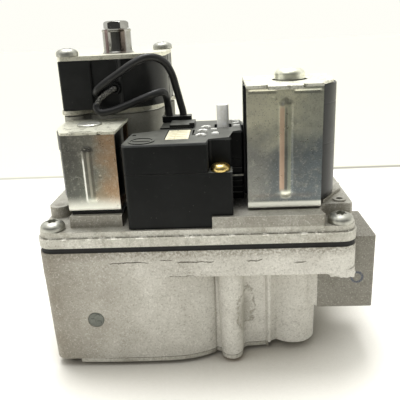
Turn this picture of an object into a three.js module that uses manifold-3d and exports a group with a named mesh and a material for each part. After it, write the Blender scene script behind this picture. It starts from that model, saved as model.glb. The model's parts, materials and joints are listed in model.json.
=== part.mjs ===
// Combination gas valve: body and cover castings, two solenoid operators, a servo-driven
// outlet valve, a modulating regulator and a connection box. Millimetres, +Z up. X runs along
// the gas line (inlet at +X, outlet at -X), -Y is the front. The origin is the centre of the
// bottom plate's underside.
import * as THREE from 'three';
import { mergeVertices } from 'three/addons/utils/BufferGeometryUtils.js';
import Module from 'manifold-3d';

const wasm = await Module();
wasm.setup();

// ---- driving dimensions ----------------------------------------------------------------------

const GAP = 0.1; // left between pieces that rest on each other
const HALF_X = 55; // body flange and cover
const HALF_Y = 38;
const CORNER_R = 5.5;

// Heights of the stacked layers.
const PLATE_TOP = 1.5;
const BODY_BOTTOM = PLATE_TOP + GAP;
const RIM_BOTTOM = 34.7;
const BODY_TOP = 44.9;
const COVER_BOTTOM = 46.4;
const FLANGE_TOP = 52.0;
const DECK_TOP = 56.2;

// Gas line and ports.
const PORT_Y = -17.2;
const PORT_Z = 31.15;
const PORT_R = 9.3; // plain bore for an Rp 1/2 thread
const BLOCK = { x0: 40, x1: 62.8, y0: -30, y1: -4.4, z0: 17.4 };
const OUTLET_PAD_X = -51; // inner end of the flush pad round the outlet port
const CHAMBER_FLOOR = 20;
const FLOOR_T = 3;

// Vertical axes, in plan.
const MAIN_AXIS = [34.2, -14.5];
const SERVO_AXIS = [-36.8, -17];
const OUTLET_AXIS = [-9, 4];
const REG_AXIS = [-30.3, 15];
const SCREW_X = 49.4; // cover screws
const SCREW_Y = 33.4;

// Strokes of the moving valves.
const MAIN_STROKE = 3.0;
const SERVO_STROKE = 1.2;
const OUTLET_STROKE = 3.5;
const REG_STROKE = 0.8;

// Outlet (diaphragm) valve.
const DIAPHRAGM_R = 23.5;
const CLAMP_R = 28;
const RIM_T = 0.8;
const OUTLET_SEAT_R = 9;
const OUTLET_FLOOR = 26;

// Main (right) solenoid.
const MAIN_FRAME = { x0: 18.5, x1: 43.1, y0: -31, y1: 2.3, z0: 56.4, z1: 96.95, t: 1.0 };
const MAIN_COIL_R = 16.2;
const MAIN_TUBE_R = 6.1;
const TOP_PLATE_T = 0.9;

// Servo (left) solenoid.
const SERVO_FRAME = { x0: -43.6, x1: -25.4, y0: -31, y1: -5.1, z0: 57.4, z1: 84.1, t: 0.9 };
const SERVO_COIL_R = 11.6;
const SERVO_TUBE_R = 4.4;

// Regulator.
const REG_HOUSING_R = 17;
const REG_HOUSING_TOP = 86.2;
const REG_LOWER_Z = [86.9, 88.5];
const REG_COIL_Z = [88.6, 106.6];
const REG_TOP_Z = [106.7, 108.2];
const REG_HALF = 19.5;
const REG_COIL_R = 19.4;
const REG_SCREW = 16.1; // offset of the two diagonal screws along X and Y
const REG_TUBE_R = 5.85;
const REG_TUBE_TOP = 117.2;

// Connection box.
const BOX = { x0: -22.5, x1: 13.4, xRear: 17.6, y0: -36.2, y1: 5.3 };
const BOX_SEAM = 71.3;
const BOX_TOP = 81.3;
const BOX_WALL = 1.8;
const BOX_SCREW_AXIS = [9.5, -33.1];
const POST_AXIS = [10.7, -7.4];

const LEAD_R = 1.4;

// ---- materials -------------------------------------------------------------------------------

function finish(color, roughness, metalness) {
  return new THREE.MeshStandardMaterial({ color, roughness, metalness });
}

const bodyAlloy = finish(0xa39d8e, 0.62, 0.55);
const coverAlloy = finish(0x8f8e88, 0.5, 0.7);
const zinc = finish(0xb3b1a4, 0.3, 0.9);
const steel = finish(0xb9babb, 0.25, 1.0);
const chrome = finish(0xd5d7da, 0.08, 1.0);
const brass = finish(0xc9a24e, 0.3, 1.0);
const yellowZinc = finish(0xb98a45, 0.35, 0.9);
const blackPlastic = finish(0x17181a, 0.5, 0.0);
const coilPlastic = finish(0x111214, 0.38, 0.0);
const creamPlastic = finish(0xe6e0c4, 0.5, 0.0);
const rubber = finish(0x0c0c0d, 0.8, 0.0);
const leadCover = finish(0x1c1c1e, 0.45, 0.0);

// ---- geometry helpers ------------------------------------------------------------------------

function box(x0, x1, y0, y1, z0, z1) {
  const geometry = new THREE.BoxGeometry(x1 - x0, y1 - y0, z1 - z0);
  return geometry.translate((x0 + x1) / 2, (y0 + y1) / 2, (z0 + z1) / 2);
}

// A round bar along Z, X or Y.
function barZ(x, y, radius, z0, z1, sides = 16) {
  const geometry = new THREE.CylinderGeometry(radius, radius, z1 - z0, sides);
  return geometry.rotateX(Math.PI / 2).translate(x, y, (z0 + z1) / 2);
}

function barX(y, z, radius, x0, x1, sides = 20) {
  const geometry = new THREE.CylinderGeometry(radius, radius, x1 - x0, sides);
  return geometry.rotateZ(Math.PI / 2).translate((x0 + x1) / 2, y, z);
}

function barY(x, z, radius, y0, y1, sides = 12) {
  const geometry = new THREE.CylinderGeometry(radius, radius, y1 - y0, sides);
  return geometry.translate(x, (y0 + y1) / 2, z);
}

function prism(shape, z0, z1, curveSegments = 4) {
  const geometry = new THREE.ExtrudeGeometry(shape, { depth: z1 - z0, bevelEnabled: false, curveSegments });
  return geometry.translate(0, 0, z0);
}

// A turned piece about Z: the profile is a list of [radius, z], going up on the outside.
function turned(profile, sides = 20) {
  const points = profile.map(([r, z]) => new THREE.Vector2(r, z));
  return new THREE.LatheGeometry(points, sides).rotateX(Math.PI / 2);
}

// A closed ring of rectangular section.
function ring(inner, outer, z0, z1, sides = 20) {
  return turned([[inner, z0], [outer, z0], [outer, z1], [inner, z1], [inner, z0]], sides);
}

function roundedRect(x0, x1, y0, y1, r) {
  const shape = new THREE.Shape();
  shape.moveTo(x0 + r, y0);
  shape.lineTo(x1 - r, y0);
  shape.absarc(x1 - r, y0 + r, r, -Math.PI / 2, 0, false);
  shape.lineTo(x1, y1 - r);
  shape.absarc(x1 - r, y1 - r, r, 0, Math.PI / 2, false);
  shape.lineTo(x0 + r, y1);
  shape.absarc(x0 + r, y1 - r, r, Math.PI / 2, Math.PI, false);
  shape.lineTo(x0, y0 + r);
  shape.absarc(x0 + r, y0 + r, r, Math.PI, Math.PI * 1.5, false);
  return shape;
}

function polygon(points) {
  return new THREE.Shape(points.map(([x, y]) => new THREE.Vector2(x, y)));
}

function solidOf(geometry) {
  const bare = geometry.index ? geometry.toNonIndexed() : geometry.clone();
  bare.deleteAttribute('normal');
  bare.deleteAttribute('uv');
  const welded = mergeVertices(bare, 1e-4);
  const corners = welded.index.array;
  const triangles = [];
  for (let i = 0; i < corners.length; i += 3) {
    const [a, b, c] = [corners[i], corners[i + 1], corners[i + 2]];
    if (a !== b && b !== c && c !== a) triangles.push(a, b, c);
  }
  return new wasm.Manifold(new wasm.Mesh({
    numProp: 3,
    vertProperties: new Float32Array(welded.attributes.position.array),
    triVerts: new Uint32Array(triangles),
  }));
}

function geometryOf(solid) {
  const mesh = solid.getMesh();
  const geometry = new THREE.BufferGeometry();
  geometry.setAttribute('position', new THREE.BufferAttribute(mesh.vertProperties.slice(), 3));
  geometry.setIndex(new THREE.BufferAttribute(mesh.triVerts.slice(), 1));
  geometry.computeVertexNormals();
  return geometry;
}

// Joins the first list, then cuts the second from it.
function carve(adds, cuts) {
  const joined = adds.map(solidOf).reduce((whole, next) => whole.add(next));
  return geometryOf(cuts.map(solidOf).reduce((whole, next) => whole.subtract(next), joined));
}

const valve = new THREE.Group();

function node(parent, name, geometry, material, position = [0, 0, 0]) {
  const mesh = new THREE.Mesh(geometry, material);
  mesh.name = name;
  mesh.position.set(...position);
  parent.add(mesh);
}

function subassembly(axis) {
  const group = new THREE.Group();
  group.position.set(axis[0], axis[1], 0);
  valve.add(group);
  return group;
}

// A compression spring about Z, as one closed tube along a helix.
function spring(radius, wire, z0, z1, turns) {
  const curve = new THREE.Curve();
  curve.getPoint = (t) => {
    const angle = t * turns * 2 * Math.PI;
    const z = z0 + wire + t * (z1 - z0 - 2 * wire);
    return new THREE.Vector3(radius * Math.cos(angle), radius * Math.sin(angle), z);
  };
  const section = new THREE.Shape();
  section.absarc(0, 0, wire, 0, Math.PI * 2, false);
  return new THREE.ExtrudeGeometry(section, { steps: turns * 7, curveSegments: 3, extrudePath: curve });
}

// A pan-head screw, its head resting at z = 0 and its shank hanging down.
function panScrew(headR, headH, shankR, length, sides = 12) {
  return turned([
    [0, -length],
    [shankR, -length],
    [shankR, 0],
    [headR, 0],
    [headR, headH * 0.35],
    [headR * 0.86, headH * 0.78],
    [headR * 0.5, headH],
    [0, headH],
  ], sides);
}

// ---- body casting ----------------------------------------------------------------------------

// The plan of the lower body: flat left and front walls, a screw column, a step back, and the
// round column under the inlet valve.
function lowerOutline(inset) {
  const left = -54.4 + inset;
  const front = -37.2 + inset;
  const back = 37.4 - inset;
  const right = 42.6 - inset;
  const shape = new THREE.Shape();
  shape.moveTo(left + 5, front);
  shape.lineTo(-8, front);
  shape.quadraticCurveTo(1, -36.8 + inset, 6.4, -33 + inset);
  shape.absarc(11.6, -31.2 + inset, 5.2, Math.PI * 1.1, Math.PI * 1.98, false);
  shape.lineTo(16.8, -29.2 + inset);
  shape.lineTo(25.3, -26.9 + inset);
  shape.absarc(34, -20.6 + inset, 8.6, Math.PI * 1.22, Math.PI * 2, false);
  shape.lineTo(right, back - 6);
  shape.absarc(right - 6, back - 6, 6, 0, Math.PI / 2, false);
  shape.lineTo(left + 5, back);
  shape.absarc(left + 5, back - 5, 5, Math.PI / 2, Math.PI, false);
  shape.lineTo(left, front + 5);
  shape.absarc(left + 5, front + 5, 5, Math.PI, Math.PI * 1.5, false);
  return shape;
}

const BOTTOM_SCREWS = [[11.6, -31.6], [-48, -31], [-48, 31.5], [36.5, 31.5]];
const COVER_SCREWS = [[-SCREW_X, -SCREW_Y], [SCREW_X, -SCREW_Y], [-SCREW_X, SCREW_Y], [SCREW_X, SCREW_Y]];
const NIPPLE = { inletX: 30, outletX: -43.5, z: 27, y0: 37.5, shankR: 3.2, shank: 4.5 };

// Chambers that open upward, shared with the gasket's windows.
const INLET_POCKET = [21, 46, -24.6, -4.2];
const MIDDLE_POCKETS = [[21, 39.5, 0, 31], [-24, 21.1, -10, 18]];
const SERVO_POCKET = [-50, -36, -2, 33];

function pocket([x0, x1, y0, y1], z0, z1) {
  return prism(roundedRect(x0, x1, y0, y1, 2.5), z0, z1, 2);
}

function bodyCasting() {
  const [mx, my] = MAIN_AXIS;
  const [ox, oy] = OUTLET_AXIS;
  const top = BODY_TOP + 1;
  const adds = [
    prism(roundedRect(-HALF_X, HALF_X, -HALF_Y, HALF_Y, CORNER_R), RIM_BOTTOM, BODY_TOP),
    prism(lowerOutline(0), BODY_BOTTOM, RIM_BOTTOM + 1, 5),
    prism(roundedRect(BLOCK.x0, BLOCK.x1, BLOCK.y0, BLOCK.y1, 0.8), BLOCK.z0, BODY_TOP, 2),
    box(-HALF_X, OUTLET_PAD_X, BLOCK.y0, BLOCK.y1, BLOCK.z0, BODY_TOP),
    prism(roundedRect(44.6, 54.9, -37.9, -28, 3), RIM_BOTTOM - 2.4, RIM_BOTTOM + 1, 4),
  ];
  const cuts = [
    barX(PORT_Y, PORT_Z, PORT_R, 44, BLOCK.x1 + 1),
    barX(PORT_Y, PORT_Z, PORT_R, -HALF_X - 1, -50),
    pocket(INLET_POCKET, CHAMBER_FLOOR, top),
    barZ(mx, my, 7, CHAMBER_FLOOR - FLOOR_T - 1, CHAMBER_FLOOR + 1),
    box(21, 39.5, -22, 30, 4.6, CHAMBER_FLOOR - FLOOR_T),
    pocket(MIDDLE_POCKETS[0], CHAMBER_FLOOR - FLOOR_T - 1, top),
    pocket(MIDDLE_POCKETS[1], OUTLET_FLOOR, top),
    barZ(ox, oy, OUTLET_SEAT_R, 22, OUTLET_FLOOR + 1),
    barZ(ox, oy, DIAPHRAGM_R, BODY_BOTTOM - 1, OUTLET_FLOOR - FLOOR_T, 28),
    barZ(ox, oy, CLAMP_R + 0.3, BODY_BOTTOM - 1, BODY_BOTTOM + RIM_T, 28),
    box(-51.5, -30, -26.5, -8, 14, 40.4),
    box(-30.1, -20, -24, -8, 8, 22),
    pocket(SERVO_POCKET, 6, top),
    ...COVER_SCREWS.map(([x, y]) => barZ(x, y, 2.3, BODY_TOP - 8.5, top, 8)),
    ...BOTTOM_SCREWS.map(([x, y]) => barZ(x, y, 1.8, BODY_BOTTOM - 1, BODY_BOTTOM + 7.4, 8)),
    ...[NIPPLE.inletX, NIPPLE.outletX].map((x) => (
      barY(x, NIPPLE.z, NIPPLE.shankR + 0.2, NIPPLE.y0 - NIPPLE.shank - 3.2, HALF_Y + 1, 10))),
  ];
  const seats = [
    ring(7, 8.4, CHAMBER_FLOOR - 0.2, CHAMBER_FLOOR + 1.5, 28).translate(mx, my, 0),
    ring(OUTLET_SEAT_R, 10.4, OUTLET_FLOOR - 0.2, OUTLET_FLOOR + 1.2, 28).translate(ox, oy, 0),
  ];
  return carve([carve(adds, cuts), ...seats], []);
}

node(valve, 'body_casting', bodyCasting(), bodyAlloy);

// The plate's screw heads sit in shallow spot-faces on its underside.
const SPOT_FACE = { r: 3.8, depth: 0.3 };
const PLATE_SCREW_HEAD = { r: 3.3, h: 1.9 };

function bottomPlate() {
  const holes = BOTTOM_SCREWS.map(([x, y]) => barZ(x, y, 1.8, -1, PLATE_TOP + 1, 8));
  const spots = BOTTOM_SCREWS.map(([x, y]) => barZ(x, y, SPOT_FACE.r, -1, SPOT_FACE.depth, 16));
  return carve([prism(lowerOutline(0.5), 0, PLATE_TOP, 5)], [...holes, ...spots]);
}

node(valve, 'bottom_plate', bottomPlate(), coverAlloy);

BOTTOM_SCREWS.forEach(([x, y], i) => {
  const screw = panScrew(PLATE_SCREW_HEAD.r, PLATE_SCREW_HEAD.h, 1.6, 7.5, 10).rotateX(Math.PI);
  node(valve, `bottom_screw_${i + 1}`, screw, yellowZinc, [x, y, SPOT_FACE.depth - GAP]);
});

function bodyGasket() {
  const z0 = BODY_TOP + GAP / 2;
  const z1 = COVER_BOTTOM - GAP / 2;
  const windows = [INLET_POCKET, ...MIDDLE_POCKETS, SERVO_POCKET].map((area) => pocket(area, z0 - 1, z1 + 1));
  const holes = COVER_SCREWS.map(([x, y]) => barZ(x, y, 2.6, z0 - 1, z1 + 1, 8));
  const sheet = roundedRect(-HALF_X + 0.35, HALF_X - 0.35, -HALF_Y + 0.35, HALF_Y - 0.35, CORNER_R);
  return carve([prism(sheet, z0, z1)], [...windows, ...holes]);
}

node(valve, 'body_gasket', bodyGasket(), rubber);

// ---- cover casting ---------------------------------------------------------------------------

// The servo deck is the plain platform under the left solenoid; the rear deck carries the
// regulator; the main deck lies under the right solenoid, stepping out round a front lug.
const SERVO_DECK = [[-43.3, -32.6], [-25.1, -32.6], [-25.1, -18], [-43.3, -18]];
const REAR_DECK = [
  [-54.4, -20], [-52.5, -22.5], [-43.3, -22.5], [-43.3, -20], [-25.1, -20], [-25.1, 6.5],
  [6.2, 6.5], [6.2, 25], [-3, 36.5], [-42, 36.5], [-42, 27], [-54.4, 25],
];
const MAIN_DECK = [
  [6.2, -37.4], [43.9, -37.4], [43.9, -26], [54.9, -26], [54.9, 25], [42, 27], [42, 36.5], [6.2, 36.5],
];

function coverCasting() {
  const [mx, my] = MAIN_AXIS;
  const [sx, sy] = SERVO_AXIS;
  const [rx, ry] = REG_AXIS;
  const [ox, oy] = OUTLET_AXIS;
  const low = FLANGE_TOP - 2;
  const lowerEdge = roundedRect(-HALF_X, HALF_X, -HALF_Y, HALF_Y, CORNER_R);
  const upperEdge = roundedRect(-HALF_X + 0.6, HALF_X - 0.6, -HALF_Y + 0.6, HALF_Y - 0.6, CORNER_R);
  const adds = [
    prism(lowerEdge, COVER_BOTTOM, COVER_BOTTOM + 3.3),
    prism(upperEdge, COVER_BOTTOM + 3, FLANGE_TOP),
    prism(polygon(SERVO_DECK), low, DECK_TOP),
    prism(polygon(REAR_DECK), low, DECK_TOP),
    prism(polygon(MAIN_DECK), low, DECK_TOP),
    barZ(ox, oy, 8, COVER_BOTTOM - 3.4, COVER_BOTTOM + 1),
  ];
  const cuts = [
    barZ(mx, my, MAIN_TUBE_R + 0.2, COVER_BOTTOM - 1, DECK_TOP + 1),
    barZ(mx, my, 8.4, DECK_TOP - 1.4, DECK_TOP + 1),
    barZ(sx, sy, SERVO_TUBE_R + 0.2, 51, DECK_TOP + 1),
    barZ(sx, sy, 6.9, DECK_TOP - 1.2, DECK_TOP + 1),
    barZ(sx, sy, 1.2, COVER_BOTTOM - 1, 52, 12),
    barZ(rx - 12, ry, 2.5, COVER_BOTTOM - 1, DECK_TOP + 1, 12),
    barZ(ox, oy, 4.2, COVER_BOTTOM - 4, COVER_BOTTOM - 0.9),
    barZ(SCREW_X, -SCREW_Y, 7.6, FLANGE_TOP, DECK_TOP + 1, 32),
    barZ(...POST_AXIS, 2.35, FLANGE_TOP - 3, DECK_TOP + 1, 16),
    ...COVER_SCREWS.map(([x, y]) => barZ(x, y, 2.6, COVER_BOTTOM - 1, FLANGE_TOP + 1, 8)),
  ];
  return carve(adds, cuts);
}

node(valve, 'cover_casting', coverCasting(), coverAlloy);

COVER_SCREWS.forEach(([x, y], i) => {
  node(valve, `cover_screw_${i + 1}`, panScrew(4.25, 3.1, 2.1, 13), steel, [x, y, FLANGE_TOP + GAP]);
});

// ---- inlet strainer --------------------------------------------------------------------------

// A perforated cup at the inner end of the inlet bore, open toward the pipe.
function inletStrainer() {
  const outer = PORT_R - 0.3;
  const holes = [barX(PORT_Y, PORT_Z, outer - 0.8, 45.8, 53, 24)];
  for (const [count, radius] of [[1, 0], [7, 5]]) {
    for (let i = 0; i < count; i += 1) {
      const angle = (i / count) * 2 * Math.PI;
      const y = PORT_Y + radius * Math.cos(angle);
      const z = PORT_Z + radius * Math.sin(angle);
      holes.push(barX(y, z, 0.9, 44, 47, 4));
    }
  }
  return carve([barX(PORT_Y, PORT_Z, outer, 45.2, 50, 24)], holes);
}

node(valve, 'inlet_strainer', inletStrainer(), steel);

// ---- main solenoid and inlet valve -----------------------------------------------------------

// A U of strip steel, standing on its bottom limb, bored for the guide tube.
function solenoidFrame(f, axis, boreR) {
  const adds = [
    box(f.x0, f.x1, f.y0, f.y1, f.z0, f.z0 + f.t),
    box(f.x0, f.x1, f.y0, f.y0 + f.t, f.z0, f.z1),
    box(f.x0, f.x1, f.y1 - f.t, f.y1, f.z0, f.z1),
  ];
  return carve(adds, [barZ(...axis, boreR, f.z0 - 1, f.z0 + f.t + 1)]);
}

const SEAL_Z = CHAMBER_FLOOR + 1.5 + GAP;
const SEAL_T = 1.6;
const DISC_T = 1.5;
const MAIN_TOP = MAIN_FRAME.z1 + GAP + TOP_PLATE_T;
const STEM_Z = SEAL_Z + SEAL_T + DISC_T + 2 * GAP;
const MAIN_CORE_Z = 84;
const main = subassembly(MAIN_AXIS);

node(valve, 'main_solenoid_frame', solenoidFrame(MAIN_FRAME, MAIN_AXIS, MAIN_TUBE_R + 0.15), zinc);

// The top plate is as narrow as the frame at the front and as wide as the coil behind.
const mainTopOutline = polygon([
  [MAIN_FRAME.x0, -31.4], [MAIN_FRAME.x1, -31.4], [MAIN_FRAME.x1, -26.5], [49.9, -18], [49.9, 2.3],
  [MAIN_FRAME.x0, 2.3],
]);
node(valve, 'main_solenoid_top_plate', carve(
  [prism(mainTopOutline, MAIN_FRAME.z1 + GAP, MAIN_TOP)],
  [barZ(...MAIN_AXIS, MAIN_TUBE_R + 0.15, MAIN_FRAME.z1, MAIN_TOP + 1)],
), zinc);

// A round coil with flats where the frame's two upright limbs hold it.
function flatten(coil, f, axis) {
  const near = f.y0 + f.t + GAP - axis[1];
  const far = f.y1 - f.t - GAP - axis[1];
  return carve([coil], [box(-30, 30, near - 9, near, 50, 110), box(-30, 30, far, far + 9, 50, 110)]);
}

const mainBore = MAIN_TUBE_R + 0.2;
node(main, 'main_solenoid_coil', flatten(turned([
  [mainBore, MAIN_FRAME.z0 + MAIN_FRAME.t + GAP],
  [MAIN_COIL_R - 1.6, MAIN_FRAME.z0 + MAIN_FRAME.t + GAP],
  [MAIN_COIL_R - 0.3, MAIN_FRAME.z0 + MAIN_FRAME.t + 1.6],
  [MAIN_COIL_R - 0.3, 90.4],
  [MAIN_COIL_R + 0.1, 90.6],
  [MAIN_COIL_R + 0.1, MAIN_FRAME.z1 - GAP],
  [mainBore, MAIN_FRAME.z1 - GAP],
  [mainBore, MAIN_FRAME.z0 + MAIN_FRAME.t + GAP],
], 32), MAIN_FRAME, MAIN_AXIS), coilPlastic);

// Guide tube: flange under the frame, fixed core closing the top, stud for the dome nut.
node(main, 'main_guide_tube', turned([
  [MAIN_TUBE_R - 0.5, 50], [MAIN_TUBE_R, 50], [MAIN_TUBE_R, DECK_TOP - 1.3], [8.1, DECK_TOP - 1.3],
  [8.1, DECK_TOP + GAP], [MAIN_TUBE_R, DECK_TOP + GAP], [MAIN_TUBE_R, MAIN_TOP], [2.5, MAIN_TOP],
  [2.5, MAIN_TOP + 2.6], [0, MAIN_TOP + 2.6], [0, MAIN_CORE_Z], [MAIN_TUBE_R - 0.5, MAIN_CORE_Z],
  [MAIN_TUBE_R - 0.5, 50],
]), steel);

node(main, 'main_dome_nut', turned([
  [2.6, MAIN_TOP + GAP], [5.3, MAIN_TOP + GAP], [5.3, MAIN_TOP + 1.6], [4.9, MAIN_TOP + 2.7],
  [4.0, MAIN_TOP + 3.5], [2.4, MAIN_TOP + 3.95], [0, MAIN_TOP + 4.1], [0, MAIN_TOP + 2.8],
  [2.6, MAIN_TOP + 2.8], [2.6, MAIN_TOP + GAP],
]), steel);

node(main, 'inlet_valve_plunger', turned([
  [0, STEM_Z], [2, STEM_Z], [2, 54], [5.3, 54], [5.3, MAIN_CORE_Z - MAIN_STROKE - 0.2],
  [0, MAIN_CORE_Z - MAIN_STROKE - 0.2],
]), steel);
node(main, 'inlet_valve_seal', barZ(0, 0, 8.7, SEAL_Z, SEAL_Z + SEAL_T, 28), rubber);
node(main, 'inlet_valve_disc', barZ(0, 0, 8.9, SEAL_Z + SEAL_T + GAP, STEM_Z - GAP, 28), brass);
node(main, 'inlet_valve_spring', spring(7.6, 0.45, STEM_Z, COVER_BOTTOM - GAP, 5), steel);

// ---- servo solenoid and servo valve ----------------------------------------------------------

const SERVO_TOP = SERVO_FRAME.z1 + GAP + TOP_PLATE_T;
const SERVO_CORE_Z = 76;
const PAD_Z = 51.1;
const servo = subassembly(SERVO_AXIS);

node(valve, 'servo_solenoid_frame', solenoidFrame(SERVO_FRAME, SERVO_AXIS, SERVO_TUBE_R + 0.15), zinc);

// The top plate overhangs the frame on the left, with a rounded front corner.
function servoTopPlate() {
  const shape = new THREE.Shape();
  shape.moveTo(-42, -31.4);
  shape.lineTo(-25, -31.4);
  shape.lineTo(-25, SERVO_FRAME.y1);
  shape.lineTo(-46.5, SERVO_FRAME.y1);
  shape.lineTo(-47.6, -8);
  shape.lineTo(-47.6, -24);
  shape.quadraticCurveTo(-47.6, -30.4, -42, -31.4);
  const bore = barZ(...SERVO_AXIS, SERVO_TUBE_R + 0.15, SERVO_FRAME.z1, SERVO_TOP + 1);
  return carve([prism(shape, SERVO_FRAME.z1 + GAP, SERVO_TOP)], [bore]);
}

node(valve, 'servo_solenoid_top_plate', servoTopPlate(), zinc);

const servoBore = SERVO_TUBE_R + 0.2;
node(servo, 'servo_solenoid_coil', flatten(turned([
  [servoBore, SERVO_FRAME.z0 + SERVO_FRAME.t + GAP],
  [SERVO_COIL_R - 1.2, SERVO_FRAME.z0 + SERVO_FRAME.t + GAP],
  [SERVO_COIL_R - 0.2, SERVO_FRAME.z0 + SERVO_FRAME.t + 1.4],
  [SERVO_COIL_R - 0.2, 77.4],
  [SERVO_COIL_R, 77.6],
  [SERVO_COIL_R, SERVO_FRAME.z1 - GAP],
  [servoBore, SERVO_FRAME.z1 - GAP],
  [servoBore, SERVO_FRAME.z0 + SERVO_FRAME.t + GAP],
], 28), SERVO_FRAME, SERVO_AXIS), coilPlastic);

node(servo, 'servo_guide_tube', turned([
  [SERVO_TUBE_R - 0.4, 51.2], [SERVO_TUBE_R, 51.2], [SERVO_TUBE_R, DECK_TOP - 1.1], [6.7, DECK_TOP - 1.1],
  [6.7, DECK_TOP], [SERVO_TUBE_R, DECK_TOP], [SERVO_TUBE_R, SERVO_TOP + 0.4],
  [SERVO_TUBE_R - 0.6, SERVO_TOP + 0.7], [0, SERVO_TOP + 0.7], [0, SERVO_CORE_Z],
  [SERVO_TUBE_R - 0.4, SERVO_CORE_Z], [SERVO_TUBE_R - 0.4, 51.2],
], 20), steel);

node(servo, 'servo_washer', ring(SERVO_TUBE_R + 0.2, 8, DECK_TOP + GAP, SERVO_FRAME.z0 - GAP, 20), rubber);
node(servo, 'servo_valve_pad', barZ(0, 0, 3, PAD_Z, PAD_Z + 1.5, 16), rubber);
const servoPlungerTop = SERVO_CORE_Z - SERVO_STROKE - 3.4;
node(servo, 'servo_valve_plunger', barZ(0, 0, 3.6, PAD_Z + 1.5 + GAP, servoPlungerTop, 18), steel);
node(servo, 'servo_valve_spring', spring(2.6, 0.3, servoPlungerTop + GAP, SERVO_CORE_Z - GAP, 4), steel);

// ---- outlet valve, driven by the main diaphragm ----------------------------------------------

const OUTLET_SEAL_Z = OUTLET_FLOOR + 1.2 + GAP;
const OUTLET_DISC_Z = OUTLET_SEAL_Z + 1.6 + GAP;
const DISH_Z = 5.4; // height of the diaphragm's middle above the plate
const outlet = subassembly(OUTLET_AXIS);

node(outlet, 'main_diaphragm', turned([
  [0, DISH_Z - 0.6], [15, DISH_Z - 0.6], [20.5, BODY_BOTTOM + 0.15], [CLAMP_R, BODY_BOTTOM],
  [CLAMP_R, BODY_BOTTOM + RIM_T - GAP], [21, BODY_BOTTOM + RIM_T - GAP + 0.1], [15.4, DISH_Z], [0, DISH_Z],
], 28), rubber);

node(outlet, 'diaphragm_plate', turned([
  [0, DISH_Z + GAP], [14, DISH_Z + GAP], [14, DISH_Z + 1.4], [2.5, DISH_Z + 1.4],
  [2.5, OUTLET_SEAL_Z - GAP], [0, OUTLET_SEAL_Z - GAP],
]), steel);
node(outlet, 'outlet_valve_seal', barZ(0, 0, 11.2, OUTLET_SEAL_Z, OUTLET_SEAL_Z + 1.6, 28), rubber);
node(outlet, 'outlet_valve_disc', barZ(0, 0, 11.5, OUTLET_DISC_Z, OUTLET_DISC_Z + 1.5, 28), brass);
const outletSpringZ = [OUTLET_DISC_Z + 1.5 + GAP, COVER_BOTTOM - 3.4 - GAP];
node(outlet, 'outlet_valve_spring', spring(6.2, 0.5, ...outletSpringZ, 4), steel);

// ---- modulating regulator --------------------------------------------------------------------

const DIAGONAL = [[-REG_SCREW, -REG_SCREW], [REG_SCREW, REG_SCREW]];
const regulator = subassembly(REG_AXIS);

// Round housing with two diagonal ears; the front-left ear clears the servo solenoid.
function regulatorHousing() {
  const ears = DIAGONAL.map(([x, y]) => barZ(x, y, 3.8, DECK_TOP + GAP, REG_HOUSING_TOP, 20));
  const webs = DIAGONAL.map(([x, y]) => {
    const web = new THREE.BoxGeometry(12, 4, REG_HOUSING_TOP - DECK_TOP - GAP);
    web.rotateZ(Math.PI / 4);
    return web.translate(x * 0.8, y * 0.8, (REG_HOUSING_TOP + DECK_TOP + GAP) / 2);
  });
  const cuts = [
    barZ(0, 0, 13, 66, REG_HOUSING_TOP + 1, 32),
    barZ(0, 0, 9, 60, 67, 24),
    barZ(-12, 0, 2.5, DECK_TOP - 1, 67, 12),
    ...DIAGONAL.map(([x, y]) => barZ(x, y, 1.9, REG_HOUSING_TOP - 9, REG_HOUSING_TOP + 1, 12)),
  ];
  return carve([barZ(0, 0, REG_HOUSING_R, DECK_TOP + GAP, REG_HOUSING_TOP, 32), ...ears, ...webs], cuts);
}

node(regulator, 'regulator_housing', regulatorHousing(), bodyAlloy);

// Yoke plates: a disc below, a square with two rounded corners above, both with screw ears.
const boreR = REG_TUBE_R + 0.2;
const screwHoles = (z0, z1) => DIAGONAL.map(([x, y]) => barZ(x, y, 2.1, z0, z1, 12));

node(regulator, 'regulator_lower_plate', carve(
  [
    barZ(0, 0, 17.6, ...REG_LOWER_Z, 32),
    ...DIAGONAL.map(([x, y]) => barZ(x, y, 4.4, ...REG_LOWER_Z, 20)),
    ...DIAGONAL.map(([x, y]) => box(-6, 6, -4.4, 4.4, ...REG_LOWER_Z)
      .rotateZ(Math.PI / 4).translate(x * 0.75, y * 0.75, 0)),
  ],
  [barZ(0, 0, boreR, 80, 90), ...screwHoles(80, 90)],
), zinc);

function yokeOutline(half, round, corner) {
  const shape = new THREE.Shape();
  shape.moveTo(-half + corner, -half);
  shape.lineTo(half - round, -half);
  shape.absarc(half - round, -half + round, round, -Math.PI / 2, 0, false);
  shape.lineTo(half, half - corner);
  shape.absarc(half - corner, half - corner, corner, 0, Math.PI / 2, false);
  shape.lineTo(-half + round, half);
  shape.absarc(-half + round, half - round, round, Math.PI / 2, Math.PI, false);
  shape.lineTo(-half, -half + corner);
  shape.absarc(-half + corner, -half + corner, corner, Math.PI, Math.PI * 1.5, false);
  return shape;
}

node(regulator, 'regulator_top_plate', carve(
  [prism(yokeOutline(REG_HALF, 13, 2), ...REG_TOP_Z, 6)],
  [barZ(0, 0, boreR, 100, 110), ...screwHoles(100, 110)],
), zinc);

// The coil is round, with square blocks round the two screws and a flat face for the leads.
node(regulator, 'regulator_coil', carve(
  [
    barZ(0, 0, REG_COIL_R, ...REG_COIL_Z, 36),
    box(-REG_HALF + 0.2, -7.2, -REG_HALF, -4, ...REG_COIL_Z),
    box(7.2, REG_HALF - 0.2, 4, REG_HALF, ...REG_COIL_Z),
    box(-8, 3.3, -REG_HALF + 0.6, 0, ...REG_COIL_Z),
  ],
  [barZ(0, 0, boreR, 80, 110), ...DIAGONAL.map(([x, y]) => barZ(x, y, 2.1, 80, 110, 12))],
), coilPlastic);

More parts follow.
